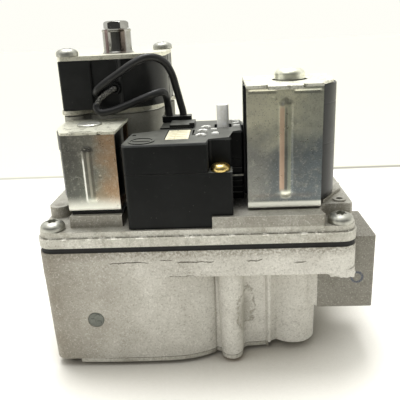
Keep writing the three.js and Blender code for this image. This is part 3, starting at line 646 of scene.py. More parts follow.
def oily_stain(s):
    """A run of old oil from behind the screw column, with a darker outline where it dried."""
    near = s.product(s.along("Y", -20, -26), s.along("Z", 32, 28))
    ragged = s.noise(3.2, 3)
    outline = s.wander(distance_to(s, 17.0, 18.5, 0.42), ragged, 5.0)
    ring = s.product(s.within(outline, 3.1, 0.8, 0.15), s.clouds(0.35, 0.55, 1.2, 3))
    fill = s.band(s.wander(distance_to(s, 16.4, 16, 0.38), ragged, 5.0), 3.6, 1.2)
    return s.product(near, s.math("MAXIMUM", ring, s.product(fill, 0.55)))


def inspection_ring(s, x=56.9, z=29.1, radius=1.9):
    """A plain ring of ink on the port block's front."""
    line = s.within(distance_to(s, x, z), radius, 0.6, 0.2)
    return s.product(line, s.along("Y", -29, -29.8), s.clouds(0.32, 0.48, 1.1, 3))


def cover_alloy(worn=0.0):
    # On the edge material the light tone is paler: wear and painted highlight.
    s, tone = cast_alloy(
        "cover_alloy_edge" if worn else "cover_alloy", (212, 211, 203),
        (244, 243, 236) if worn else (228, 227, 220), (180, 178, 168), (100, 95, 82), 0.5, 0.42,
        worn, crevice=1.4,
    )
    deck = s.along("Z", 55.9, 56.1)
    wall = s.product(
        s.along("Z", 51.9, 52.5), s.along("Z", 56.15, 55.95), s.clouds(-0.1, 0.6, 5.5, 5, 0.7),
    )
    # Painted shade: a dark band on the deck along the main frame's foot.
    shade_under_frame = s.product(
        s.along("X", 18.0, 18.8), s.along("X", 43.2, 42.4), s.within(s.axis("Y"), -31, 1.0, 0.5),
    )
    # Painted shade on the deck in the nook between the box and the main frame.
    shaded_nook = s.product(
        s.along("X", 12.6, 13.4), s.along("X", 18.8, 18.2), s.along("Y", -33, -25),
        s.along("Y", 6, 2),
    )
    # A pale broken line along the flange's upper edge: wear and painted highlight.
    rubbed_and_lit = s.product(s.within(s.axis("Z"), 49.75, 0.5, 0.2), s.clouds(0.5, 0.6, 2.6, 4, 0.7))
    tone = s.layers(
        tone,
        ((128, 121, 106), s.clouds(0.5, 0.66, 4.2, 5, 0.7), 0.4),
        ((128, 124, 114), wall, 0.76),
        ((150, 146, 136), s.along("Z", 55.9, 56.2), 0.3),
        # Painted shade in corners within 5 mm.
        ((120, 114, 100), s.band(s.ao(5), 0.85, 0.35), 0.55),
        ((24, 23, 20), shade_under_frame, deck, 0.92),
        ((34, 34, 32), shaded_nook, deck, 0.9),
        ((246, 245, 238), rubbed_and_lit, 0.85),
    )
    return s.colour(sandy(s, tone))


def small_alloy(name, base, metallic=0.3):
    """The alloy of a smaller casting, in one base tone."""
    light, dark = (tuple(max(0, min(255, c + d)) for c in base) for d in (20, -26))
    s, tone = cast_alloy(name, base, light, dark, tuple(c // 2 for c in base), 0.56, metallic)
    return s.colour(tone)


def zinc_plate(name, top, bottom, left, right, gloss=(0.2, 0.42), pressed=(), edge=None, foot=None,
               grime=0.22):
    """Rolled sheet, zinc plated and passivated. Its tone shifts with height as a painted reflection
    and drifts across the plate, partly passivation tint and partly painted reflection; painted
    reflections, highlights and shade on the pressed bead are stripes: (x, half width, z0, z1,
    colour, share)."""
    s = Surface(name, metallic=1.0)
    cloud = s.noise(9, 3)
    fleck = s.noise(0.45, 3)
    # Painted reflection: the tone goes from the bottom colour to the top one with height; the
    # sideways drift is partly passivation tint and partly painted reflection.
    rise = s.wander(s.axis("Z"), cloud, 22)
    tone = s.mix(s.band(rise, bottom[0], top[0]), bottom[1], top[1])
    drift = s.wander(s.axis("X"), s.noise(7, 3), 10)
    tone = s.layers(
        tone,
        (right[1], s.band(drift, right[0] - 5, right[0] + 5), right[2]),
        (left[1], s.band(drift, left[0] + 5, left[0] - 5), left[2]),
        ((232, 230, 216), s.clouds(0.5, 0.7, 1.5, 5, 0.7), 0.26),
        ((116, 112, 96), s.clouds(0.5, 0.68, 2.2, 5, 0.7), grime),
        ((96, 96, 90), s.band(fleck, 0.44, 0.3), 0.45),
        ((246, 248, 242), s.band(fleck, 0.6, 0.74), 0.45),
    )
    # Painted highlight: the bottom bend is painted pale and not metallic, as its bright reflection.
    if foot:
        pale = s.product(s.along("Z", *foot), s.along("Y", -29.6, -30.2))
        tone = s.mix(pale, tone, (255, 255, 242))
        s.link(s.math("SUBTRACT", 1.0, pale), s.shader.inputs["Metallic"])
    # Painted reflections, highlights and shade on the pressed bead's flanks and ends.
    for x, half, z0, z1, colour, share in pressed:
        across = s.within(s.axis("X"), x, half, half * 0.55)
        upright = s.product(
            s.along("Z", z0 - 1, z0 + 1), s.along("Z", z1 + 1, z1 - 1), s.along("Y", -28, -30),
        )
        tone = s.over(tone, colour, across, upright, share)
    # The edge faces take the edge colour: pale on the top plates, as wear and painted highlight;
    # dark on the bent frames' cut edges.
    if edge:
        tone = s.mix(0.6, tone, edge)
    s.gloss(s.noise(2.5, 4), *gloss)
    s.bump(s.noise(0.35, 3), 0.012, 0.5)
    s.bump(s.noise(14, 2), 0.12, 0.25)
    return s.colour(tone)


def bright_steel(name, base, roughness, scratch=0.35, edge=False, metallic=1.0):
    s = Surface(name, metallic=metallic)
    cloud = s.noise(1.6, 3)
    tone = s.mix(s.band(cloud, 0.35, 0.7), base, tuple(min(255, c + 22) for c in base))
    tone = s.over(tone, (120, 117, 106), s.clouds(0.6, 0.75, 0.5, 3), scratch)
    # Edge materials are paler: wear and painted highlight.
    if edge:
        tone = s.mix(0.5, tone, (240, 240, 234))
    s.gloss(s.noise(0.8, 3), roughness * 0.7, roughness * 1.4)
    s.bump(s.noise(0.25, 2), 0.01, 0.4)
    return s.colour(tone)


def polished(name, base, roughness, reflection_streaks=()):
    """Plated and polished metal. Painted reflection streaks on its front are each (x, half width,
    colour, share).
    """
    s = Surface(name, metallic=1.0)
    tone = s.mix(s.clouds(0.4, 0.7, 3, 3), base, tuple(min(255, c + 14) for c in base))
    for x, half, colour, share in reflection_streaks:
        across = s.within(s.axis("X"), x, half, half * 0.6)
        tone = s.over(tone, colour, across, s.along("Y", REG_AXIS[1], REG_AXIS[1] - 1.5), share)
    s.gloss(s.noise(0.9, 4, 0.7, stretch=(1, 1, 0.2)), roughness * 0.4, roughness * 2)
    s.bump(s.noise(0.8, 2, stretch=(1, 1, 0.15)), 0.004, 0.5)
    return s.colour(tone)


def moulded(name, base, light, roughness, grain=0.35, depth=0.02, dust=0.3, settled=0.0, sheen=0.5):
    """Moulded plastic or rubber: fine spark-eroded texture, faint cloud, and a little pale dust,
    thicker where it has settled on top."""
    s = Surface(name, roughness=roughness, Specular_IOR_Level=sheen)
    tone = s.mix(s.clouds(0.35, 0.7, 8, 4), base, light)
    tone = s.layers(
        tone,
        (tuple(min(255, c + 50) for c in base), s.clouds(0.56, 0.8, 1.6, 5, 0.7), dust),
        ((150, 150, 142), s.specks(2.6, 0.055), dust),
    )
    if settled:
        normal = s.parts(s.nodes.new("ShaderNodeNewGeometry").outputs["Normal"])
        film = s.product(s.band(normal["Z"], 0.6, 0.95), s.clouds(-0.4, 0.9, 3, 4))
        tone = s.over(tone, (138, 139, 132), film, settled)
    s.gloss(s.noise(3, 4), roughness - 0.1, roughness + 0.1)
    s.bump(s.noise(grain, 2), depth, 0.6)
    return s.colour(tone)


def cream_plastic():
    s = Surface("cream_plastic", roughness=0.45)
    tone = s.mix(s.clouds(0.35, 0.7, 3, 3), (232, 226, 196), (244, 240, 216))
    # Painted shade in corners and recesses.
    tone = s.over(tone, (176, 168, 132), s.band(s.ao(1.2), 0.7, 0.2), 0.4)
    s.bump(s.noise(0.3, 2), 0.01, 0.5)
    return s.colour(tone)


def braid():
    s = Surface("sleeve", roughness=0.6)
    weave = s.noise(0.5, 2)
    tone = s.mix(s.band(weave, 0.42, 0.6), (34, 34, 34), (112, 111, 105))
    s.bump(weave, 0.05, 0.8)
    return s.colour(tone)


# Dark, reddish painted reflections down the sides of the regulator's sleeve.
TUBE_REFLECTIONS = [(-33.5, 0.9, (98, 74, 74), 0.8), (-27.4, 1.3, (92, 78, 68), 0.8)]
# Per plate: the top and bottom tones, with the heights between which they blend, are a painted
# reflection, light above and dim below; left and right tints are partly passivation and partly
# painted reflection; the pressed stripes are painted reflections, highlights and shade on the bead;
# the foot is the bend's painted highlight.
ZINC_TONES = {
    "main": dict(
        top=(94, (246, 244, 218)), bottom=(74, (124, 130, 132)), left=(25, (206, 200, 186), 0.3),
        right=(36, (124, 136, 144), 0.4), foot=(59.4, 58.4),
        pressed=[
            (29.9, 1.0, 63, 91, (222, 190, 164), 0.8), (31.2, 0.5, 62, 91, (112, 108, 96), 0.6),
            (32.3, 0.7, 62, 92, (190, 194, 168), 0.5),
            (31.2, 2.1, 60.4, 62.8, (252, 253, 236), 0.85),
            (31.2, 4.4, 61.6, 61.7, (250, 252, 236), 0.5),
            (30.8, 14, 60.9, 61.3, (150, 116, 88), 0.3), (31.2, 2.0, 92.0, 92.8, (84, 86, 78), 0.6),
            (30.1, 0.4, 91.8, 92.0, (255, 255, 250), 1.0),
        ],
    ),
    "servo": dict(
        top=(80, (156, 154, 144)), bottom=(62, (146, 152, 140)), left=(-37, (104, 104, 101), 0.8),
        right=(-31, (196, 158, 122), 0.75), foot=(63.6, 57.4),
        pressed=[
            (-36.7, 0.4, 61, 76, (250, 250, 244), 0.8), (-35.9, 0.7, 63, 79, (100, 96, 88), 0.6),
            (-34.9, 0.5, 62, 78, (206, 200, 184), 0.5), (-33.9, 0.55, 63, 79, (112, 106, 96), 0.6),
            (-35.0, 1.9, 60.6, 61.2, (252, 253, 238), 0.85),
        ],
    ),
    "tops": dict(
        top=(98, (240, 239, 226)), bottom=(84, (226, 225, 210)), left=(-60, (200, 200, 190), 0.2),
        right=(70, (220, 218, 200), 0.2), gloss=(0.42, 0.62), grime=0.6,
    ),
    "yoke": dict(
        top=(108, (236, 234, 218)), bottom=(86, (190, 188, 176)), left=(-60, (200, 200, 190), 0.2),
        right=(70, (220, 218, 200), 0.2), gloss=(0.36, 0.56), grime=0.5,
    ),
}


def new_look(slot, face, edge=None):
    """The materials of a piece's faces and of its edges, paler on most looks as wear and painted
    highlight, with the slot that it fills.
    """
    return Look(slot, face, edge or face)


def zinc_pair(kind, edge=(236, 234, 218)):
    return new_look("zinc_plate", zinc_plate(f"zinc_{kind}", **ZINC_TONES[kind]),
                    zinc_plate(f"zinc_{kind}_edge", **ZINC_TONES[kind], edge=edge))


BODY_ALLOY = new_look("body_alloy", body_alloy(), body_alloy(0.75))
COVER_ALLOY = new_look("cover_alloy", cover_alloy(), cover_alloy(0.9))
DISC_ALLOY = new_look("body_alloy", small_alloy("disc_alloy", (130, 133, 126)),
                      small_alloy("disc_alloy_edge", (150, 152, 144)))
REG_ALLOY = new_look("body_alloy", small_alloy("regulator_alloy", (158, 157, 147), 0.2),
                     small_alloy("regulator_alloy_edge", (176, 174, 164), 0.2))
ZINC_MAIN = zinc_pair("main", (96, 94, 86))
ZINC_SERVO = zinc_pair("servo", (96, 94, 86))
ZINC_TOPS = zinc_pair("tops")
ZINC_YOKE = zinc_pair("yoke")
STEEL = new_look("steel", bright_steel("screw_steel", (174, 174, 166), 0.42),
                 bright_steel("screw_steel_edge", (200, 201, 194), 0.26, edge=True))
DOME_ZINC = new_look("steel", bright_steel("dome_zinc", (236, 236, 218), 0.34, 0.3))
POST_STEEL = new_look(
    "steel", bright_steel("post_steel", (240, 240, 234), 0.42, 0.15, metallic=0.25),
)
CHROME = new_look("chrome", polished("chrome", (158, 157, 152), 0.09))
CHROMED_STEEL = CHROME._replace(slot="steel")
TUBE_CHROME = new_look("chrome", polished("tube_chrome", (158, 157, 152), 0.09, TUBE_REFLECTIONS))
BRASS = new_look("brass", bright_steel("brass", (196, 172, 108), 0.28, 0.25),
                 bright_steel("brass_edge", (226, 196, 126), 0.22, 0.1))
# A dark zinc, painted as shade, for the screw under the front left corner.
SHADED_ZINC = new_look("yellow_zinc", bright_steel("shaded_zinc", (84, 76, 60), 0.5, 0.6))
YELLOW_ZINC = new_look("yellow_zinc", bright_steel("yellow_zinc", (196, 150, 84), 0.34))
COIL = new_look(
    "coil_plastic",
    moulded("coil_plastic", (15, 16, 16), (24, 25, 25), 0.36, dust=0.15, sheen=0.32),
    moulded("coil_plastic_edge", (24, 25, 26), (36, 37, 38), 0.36, dust=0.2),
)
BOX_PLASTIC = new_look(
    "box_plastic",
    moulded("box_plastic", (8, 10, 10), (14, 16, 16), 0.44, dust=0.25, settled=0.62, sheen=0.22),
    moulded("box_plastic_edge", (38, 40, 40), (56, 58, 57), 0.46, dust=0.4),
)
# The marks are painted pale all over, as the highlights on raised bars.
MARK_PLASTIC = new_look(
    "box_plastic", moulded("highlit_marks", (244, 244, 238), (255, 255, 250), 0.5, dust=0.1),
)
CREAM = new_look("cream_plastic", cream_plastic())
RUBBER = new_look("rubber", moulded("rubber", (10, 10, 10), (16, 16, 15), 0.7, dust=0.2))
SHEATH = new_look(
    "lead_cover",
    moulded("lead_sheath", (18, 18, 19), (28, 28, 29), 0.4, grain=0.5, depth=0.015, dust=0.2),
)
SLEEVE = new_look("lead_cover", braid())

make_leads(SHEATH, SLEEVE)

SLOT_LOOKS = {
    look.slot: look
    for look in (BODY_ALLOY, COVER_ALLOY, ZINC_TOPS, STEEL, CHROME, BRASS, YELLOW_ZINC, COIL,
                 BOX_PLASTIC, CREAM, RUBBER, SHEATH)
}


def dress_cad_nodes():
    """Gives every CAD node its slot's procedural material; most are inside and stay as they are."""
    for part in frame["record"]["subparts"]:
        slots = frame["nodes"][part["node"]].data.materials
        slots.clear()
        slots.append(SLOT_LOOKS[part["material_slot"]].face)


dress_cad_nodes()


# ---- screws ----------------------------------------------------------------------------------

def lobed(radius, depth, lobes=6, points=36):
    """A star socket's outline."""
    turns = [2 * math.pi * i / points for i in range(points)]
    reach = [radius - depth * (0.5 - 0.5 * math.cos(lobes * a)) for a in turns]
    return [(r * math.cos(a), r * math.sin(a)) for r, a in zip(reach, turns)]


def cross(reach, half):
    """A cross recess's outline."""
    corner = [(reach, -half), (reach, half), (half, half)]
    outline = []
    for _ in range(4):
        outline += corner
        corner = [(-y, x) for x, y in corner]
    return outline


def pan_head(radius, height, socket, depth, shank):
    """A pan head resting at z = 0 with a driver's socket in it and a short threaded shank below."""
    rim = height * 0.34
    dome = [(radius * math.cos(a) ** 0.75, rim + (height - rim) * math.sin(a))
            for a in angles(12, 26, 40, 52, 64, 74, 82)]
    thread = []
    for i in range(4):
        z = -2.4 + 0.6 * i
        thread += [(shank - 0.15, z), (shank + 0.15, z + 0.3)]
    profile = [(0, -2.6), *thread, (shank, 0), (radius - 0.15, 0), (radius, 0.15), (radius, rim),
               *dome, (0, height)]
    return carved([turned(profile, 36)], [slab(socket, height - depth, height + 1, 0)], STEEL)


def make_cover_screws():
    for i in range(1, 5):
        node = f"cover_screw_{i}"
        centre, top = middle(node), span(node)[1].z
        seat = span("cover_casting")[1].z - 4.1
        bm = tilted(pan_head(4.25, top - seat, lobed(2.1, 0.7), 1.3, 2.0), 17 * i)
        place(f"{node}_head", moved(bm, centre.x, centre.y, seat), STEEL, node)


def make_bottom_screws():
    for i in range(1, 5):
        node = f"bottom_screw_{i}"
        centre, seat = middle(node), span(node)[0].z + 1.9
        bm = moved(tilted(pan_head(3.3, 1.9, cross(1.8, 0.35), 1.0, 1.5), 25 * i), turn=UPSIDE_DOWN)
        # The screw under the front left corner is painted dark, as it lies in shade.
        finish = SHADED_ZINC if centre.x < -40 and centre.y < 0 else YELLOW_ZINC
        place(f"{node}_head", moved(bm, centre.x, centre.y, seat), finish, node)


# ---- body ------------------------------------------------------------------------------------

PORT_Y, PORT_Z, PORT_R = -17.2, 31.15, 9.3
THREAD_PITCH, THREAD_RIDGE = 1.814, 0.55
CRACK_SEED = 4


def lower_outline():
    """Plan of the body below its rim: flat left part, screw column, set-back web, round column."""
    left, front, back, right = -54.95, -37.4, 37.4, 44.4
    return [
        *arc(left + 5.5, front + 4.95, 5.5, 180, 270), (-30, front - 0.55), (-20, front - 0.3),
        (-11, front), (-7, front + 0.35), (-3, front + 1.15), (0, front + 2.1), (3, front + 3.4),
        (5.6, front + 4.9), (6.2, -31.7), *arc(11.7, -32.4, 4.7, 176, 358, 9),
        *arc(18.2, -30.6, 1.6, 175, 100, 3), (24.2, -28.4), (25.1, -29.4), (26.5, -29.4),
        (27.2, -28.0), *arc(34.9, -20.2, 9.5, 228, 352, 9), (right, -17),
        *arc(right - 6, back - 6, 6, 0, 90), *arc(left + 5, back - 5, 5, 90, 180),
    ]


def threaded_bore(x0, x1, turn):
    """Cutter for a pipe-threaded port along X, with a chamfered mouth at x1."""
    r, depth = PORT_R, abs(x1 - x0)
    turns = int(depth / THREAD_PITCH)
    profile = [(0, 0)]
    for i in range(turns):
        profile += [(r, i * THREAD_PITCH), (r + THREAD_RIDGE, (i + 0.5) * THREAD_PITCH)]
    profile += [(r, turns * THREAD_PITCH), (r, depth - 1.2), (r + 1.4, depth + 0.2),
                (r + 1.4, depth + 2), (0, depth + 2)]
    return moved(turned(profile, 56), x0, PORT_Y, PORT_Z, turn)


def rough_lug():
    """The rim's right front corner hangs lower, with a broken edge left by the casting's gate."""
    bm = slab(rounded(44.8, 54.7, -37.7, -28.5, 3.2), 32.6, 36, 0)
    bmesh.ops.subdivide_edges(bm, edges=bm.edges[:], cuts=3, use_grid_fill=True)
    for vert in bm.verts:
        if vert.co.z < 35:
            push = noise.noise_vector(vert.co * 0.6)
            vert.co += Vector((push.x * 0.5, push.y * 0.3, push.z * 0.9))
            vert.co.z += 0.1 * (54.9 - vert.co.x)
    return bm


def make_body():
    right, _, top = span("body_casting")[1]
    adds = [
        slab(rounded(-55, 55, -38, 38, 5.5, 7), 34.7, top - 0.4, 0.45),
        slab(lower_outline(), 1.7, 35.5, 0.6, draft=0.7),
        slab(rounded(43, right, -30, -4.4, 0.8, 3), 17.4, top, 0.45),
        slab(rounded(30, 50, -24, -4.4, 0.8, 3), 17.4, top, 0.45),
        slab([(39.6, -27.8), (43.6, -29.95), (47, -28), (44, -23)], 17.6, 36, 0.3),
        slab(rounded(-55, -50, -30, -4.4, 0.5, 2), 17.4, top, 0.3),
        rough_lug(),
    ]
    cuts = [
        threaded_bore(45, right, ONTO_RIGHT),
        threaded_bore(-40, -55, ONTO_LEFT),
        moved(turned([(0, -3), (3.05, -3), (3.05, 0), (0, 0)], 40), -37.0, -37.35, 18.2, ONTO_REAR),
        *parting_cracks(),
    ]
    for x in (30, -43.5):
        cuts.append(moved(turned([(0, 0), (3.4, 0), (3.4, 9), (0, 9)], 32), x, 33, 27, ONTO_REAR))
    form("body_shell", BODY_ALLOY, adds, cuts, "body_casting")
    make_ejector_disc()


def parting_cracks():
    """Broken, wandering folds along the rim's front, where the die halves met."""
    rng = random.Random(CRACK_SEED)
    runs = [(-30.5, -16.2, 40.5, 0.2), (-12.5, -8, 41.2, 0.14), (-6.5, 6.5, 40.4, 0.26),
            (17.2, 22.8, 40.5, 0.32), (33.2, 37.6, 39.3, 0.2), (-10, 1, 34.8, 0.1)]
    cutters = []
    for x0, x1, z, half in runs:
        count = max(5, int((x1 - x0) / 0.55))
        upper, lower, wander = [], [], 0
        for i in range(count + 1):
            x = x0 + (x1 - x0) * i / count
            swell = max(0, math.sin(math.pi * i / count)) ** 0.5
            wander = 0.6 * wander + rng.uniform(-0.2, 0.2)
            wide = 1.5 * half * swell * rng.uniform(0.2, 1.0) + 0.03
            upper.append((x, -(z + wander + wide)))
            lower.append((x, -(z + wander - wide)))
        cut = slab([*upper, *lower[::-1]], 0, 4, 0)
        cutters.append(moved(cut, 0, -37.55, 0, ONTO_FRONT @ Matrix.Scale(-1, 4, (0, 1, 0))))
    for cut in cutters:
        bmesh.ops.recalc_face_normals(cut, faces=cut.faces)
    return cutters


def make_ejector_disc():
    """The round end of an ejector pin, let into the front wall, with worn plain relief on it."""
    bm = turned([(0, -1.2), (2.9, -1.2), (2.9, 0), (2.6, 0.16), (2.35, 0), (0, 0.02)], 44)
    leaning = block(-0.9, 1.4, -0.4, 0.5, -0.5, 0.2, 0.12)
    reliefs = [
        block(-1.9, -0.3, -0.9, 0.4, -0.5, 0.22, 0.12),
        block(0.3, 1.7, -1.6, -0.5, -0.5, 0.2, 0.12),
        moved(leaning, 0.1, 1.1, 0, Matrix.Rotation(0.6, 4, "Z")),
    ]
    form("ejector_disc", DISC_ALLOY, [bm, *reliefs], at=(-37.0, -37.4, 18.2), turn=ONTO_FRONT)


def make_bottom_plate():
    low, high = span("bottom_plate")
    cuts = []
    for i in range(1, 5):
        centre = middle(f"bottom_screw_{i}")
        cuts.append(rod(centre.x, centre.y, 3.8, 32, -1, low.z + 0.3))
        cuts.append(rod(centre.x, centre.y, 1.8, 24, -1, high.z + 1))
    wall = inset(lower_outline(), 0.75)
    front = [p for p in wall if -44 < p[0] < 26 and p[1] < -20]
    back = [p for p in wall if p[1] > 20]
    plate = slab([
        (-53, -27), (-46, -27.5), (-44.4, -29), (-44.4, -36.9), *front, (25.8, -24), (27.5, -22),
        (42.0, -20), *back,
    ], low.z, high.z, 0.25)
    form("bottom_plate_sheet", COVER_ALLOY, [plate], cuts, "bottom_plate")


def make_gasket():
    low, high = span("body_gasket")
    outline = rounded(low.x, high.x, low.y, high.y, 5.2, 7)
    # The rubber reaches 0.8 mm below and 0.3 mm above its CAD node, so that more black shows at the
    # seam: rubber and painted shade together.
    bm = slab(outline, low.z - 0.8, high.z + 0.3, 0.3, steps=3)
    for vert in bm.verts:
        swell = noise.noise(vert.co * 0.15)
        vert.co.x += 0.12 * swell * (1 if vert.co.x > 0 else -1)
        vert.co.y += 0.12 * swell * (1 if vert.co.y > 0 else -1)
    place("body_gasket_sheet", bm, RUBBER, "body_gasket")


# ---- cover -----------------------------------------------------------------------------------

def make_cover():
    floor, deck = 46.4, span("cover_casting")[1].z
    shelf = deck - 4.2
    adds = [
        slab(rounded(-55, 55, -38, 38, 5.5, 7), floor, 49.8, 0.5, draft=0.1),
        slab(rounded(-54.4, 54.4, -37.3, 37.3, 5.3, 7), 49.0, shelf, 0.5),
        slab([
            (-43.3, -32.6), (-25.1, -32.6), (-25.1, -18), (-43.3, -18),
        ], shelf - 1, deck, 0.4, draft=-0.1),
        slab([
            *arc(-50.8, -18.9, 3.6, 180, 345, 8), (-46.4, -17.6), (-45, -17.2), (-25.1, -17.2),
            (-25.1, 6.5), (6.2, 6.5), (6.2, 25), (-3, 36.5), (-42, 36.5), (-42, 27), (-54.4, 25),
        ], shelf - 1, deck, 0.5),
        slab([
            (6.2, -37.4), (43.0, -37.4), (43.9, -36.4), (43.9, -28.5), (45.4, -26.9), (54.0, -26.9),
            (54.9, -26), (54.9, 25), (42, 27), (42, 36.5), (6.2, 36.5),
        ], shelf - 1, deck, 0.4, draft=-0.1),
        slab([
            (43.8, -24.6), (44.9, -25.8), (50.2, -17.6), (53.6, -12.2), (54.6, -6), (53.4, -5),
            (51.8, -11.2), (48.6, -16.6),
        ], deck - 1, deck + 1.1, 0.4),
        rod(51.0, -23.2, 2.3, 28, deck - 1, deck + 0.6, 0.3),
        slab(rounded(44.5, 54.0, 13, 24.0, 2.2), deck - 1, deck + 0.8, 0.3),
    ]
    cuts = [
        rod(49.4, -33.4, 6.4, 44, shelf, deck + 3),
        rod(*MAIN_AXIS, 6.3, 40, floor - 1, deck + 3),
        rod(*SERVO_AXIS, 4.6, 32, shelf - 1, deck + 3),
        rod(*POST, 2.4, 24, shelf - 3, deck + 3),
        rod(51.0, -23.2, 1.2, 24, deck - 3, deck + 3),
        moved(turned([(0, -0.5), (2.7, 0), (2.7, 2), (0, 2)], 36), -50.8, -18.9, deck),
    ]
    for i in range(1, 5):
        centre = middle(f"cover_screw_{i}")
        cuts.append(rod(centre.x, centre.y, 2.6, 28, floor - 1, deck))
    form("cover_shell", COVER_ALLOY, adds, cuts, "cover_casting")


# ---- solenoids -------------------------------------------------------------------------------

def bent_frame(name, node, bead, dimples, lines, look):
    """A U of sheet steel: front limb, bend, bottom limb, bend and rear limb, with a bead pressed
    outwards in the front. The bead is (x0, x1, z0, z1, height); lines are shallow scored ones."""
    low, high = span(node)
    thick, bend = (1.0 if node.startswith("main") else 0.9), 1.3
    profile = []
    rows = 110
    for i in range(rows + 1):
        profile.append((low.y, high.z + (low.z + bend - high.z) * i / rows, -1, 0, True))
    for y, first, start in ((low.y + bend, 1, 180), (high.y - bend, 0, 270)):
        for a in angles(*(start + 90 * i / 8 for i in range(first, 9))):
            ny, nz = math.cos(a), math.sin(a)
            profile.append((y + bend * ny, low.z + bend + bend * nz, ny, nz, False))
    profile.append((high.y, high.z, 1, 0, False))
    columns = int((high.x - low.x) / 0.3)
    xs = [low.x + (high.x - low.x) * i / columns for i in range(columns + 1)]

    def sunk(x, z):
        x0, x1, z0, z1, height = bead
        half = (x1 - x0) / 2
        along = min(max(z, z0 + half), z1 - half)
        reach = math.hypot(x - (x0 + x1) / 2, z - along) / half
        amount = -height * (1 - reach * reach) ** 0.8 if reach < 1 else 0
        for cx, cz, radius, deep in dimples:
            near = math.hypot(x - cx, z - cz) / radius
            if near < 1:
                amount += deep * (1 - near * near)
        for lx0, lx1, lz, deep in lines:
            if lx0 < x < lx1 and abs(z - lz) < 0.28:
                amount += deep
        return amount

    bm = bmesh.new()
    outer, inner = [], []
    for y, z, ny, nz, front in profile:
        dips = [sunk(x, z) if front else 0 for x in xs]
        outer.append([bm.verts.new((x, y - ny * dip, z - nz * dip)) for x, dip in zip(xs, dips)])
        inner.append([bm.verts.new((x, y - ny * thick, z - nz * thick)) for x in (xs[0], xs[-1])])
    for a, b in zip(outer, outer[1:]):
        for k in range(columns):
            bm.faces.new((a[k], a[k + 1], b[k + 1], b[k]))
    for a, b in zip(inner, inner[1:]):
        bm.faces.new((a[1], a[0], b[0], b[1]))
    for side, end in ((0, 0), (-1, 1)):
        for i in range(len(outer) - 1):
            strip = bm.faces.new(
                (outer[i][side], outer[i + 1][side], inner[i + 1][end], inner[i][end]),
            )
            strip.material_index = 1
    for row in (0, -1):
        top = bm.faces.new((*outer[row], inner[row][1], inner[row][0]))
        top.material_index = 1
    place(name, bm, look, node)


def wrap_tab(name, x0, x1, y, z0, z1, reach, thick):
    """The frame's middle tab, folded back over the top plate's edge."""
    bm = bmesh.new()
    profile = [(y, z0), (y, z1 - 0.8)]
    profile += [(y + 0.8 - 0.8 * math.cos(a), z1 - 0.8 + 0.8 * math.sin(a))
                for a in angles(22, 45, 68)]
    profile += [
        (y + 0.8, z1), (y + reach, z1), (y + reach, z1 - thick), (y + thick + 0.3, z1 - thick),
        (y + thick, z1 - thick - 0.3), (y + thick, z0),
    ]
    ends = [[bm.verts.new((x, py, pz)) for py, pz in profile] for x in (x0, x1)]
    bm.faces.new(ends[0])
    bm.faces.new(ends[1][::-1])
    for i in range(len(profile)):
        bm.faces.new((ends[0][i - 1], ends[1][i - 1], ends[1][i], ends[0][i]))
    soften(bm, 0.1)
    place(name, bm, ZINC_TOPS)


def arc_slot(cx, cy, radius, start, end, width, z0, z1):
    outer = arc(cx, cy, radius + width / 2, start, end, 12)
    inner = arc(cx, cy, radius - width / 2, end, start, 12)
    return slab([*outer, *inner], z0, z1, 0)


def make_main_solenoid():
    low, high = span("main_solenoid_frame")
    bent_frame("main_frame_strip", "main_solenoid_frame", (28.9, 33.6, 60.4, 93.6, 0.5),
               [(30.1, 92.2, 0.75, 0.22), (32.0, 92.9, 0.7, 0.2), (26.8, 94.0, 0.35, 0.15)],
               [(19.2, 28.2, 96.0, 0.16), (33.9, 42.4, 95.8, 0.16)], ZINC_MAIN)
    plate_low, plate_high = span("main_solenoid_top_plate")
    outline = [
        (low.x, -31.3), (24.7, -31.3), (24.7, -29.9), (37.3, -29.9), (37.3, -31.3), (high.x, -31.3),
        (high.x, -27.8), (43.9, -26.8), (47.5, -21.6), (48.3, -19.8), (49.3, -12), (49.8, -4),
        (49.8, 2.3), (low.x, 2.3),
    ]
    cuts = [
        arc_slot(32.6, -12.5, 9.2, 246, 292, 0.9, plate_low.z - 1, plate_high.z + 1),
        rod(*MAIN_AXIS, 6.3, 40, plate_low.z - 1, plate_low.z + 0.3),
        rod(*MAIN_AXIS, 2.7, 24, plate_low.z - 1, plate_high.z + 1),
    ]
    plate = slab(outline, plate_low.z, plate_high.z, 0.2)
    form("main_top_sheet", ZINC_TOPS, [plate], cuts, "main_solenoid_top_plate")
    wrap_tab("main_top_tab", 25.4, 36.6, -31.25, plate_low.z - 0.6, plate_high.z, 1.3, 0.8)
    base = span("main_dome_nut")[0].z
    dome = [
        (5.2 * math.cos(a) ** 0.62, base + 1.7 + 2.3 * math.sin(a))
        for a in angles(*range(6, 90, 7))
    ]
    nut = turned([(0, base), (5.1, base), (5.3, base + 0.2), (5.3, base + 0.5), (5.2, base + 0.7),
                  (5.2, base + 1.7), *dome, (0, base + 4.0)], 56)
    place("main_dome_cap", moved(nut, *MAIN_AXIS), DOME_ZINC, "main_dome_nut")
    make_main_coil()


def limb_cuts(node, thick, cy):
    """What a frame's front and rear limbs leave of a round coil, as two blocks to cut away."""
    low, high = span(node)
    near, far = low.y + thick - cy, high.y - thick - cy
    return [block(-30, 30, near - 9, near, 50, 110, 0), block(-30, 30, far, far + 9, 50, 110, 0)]


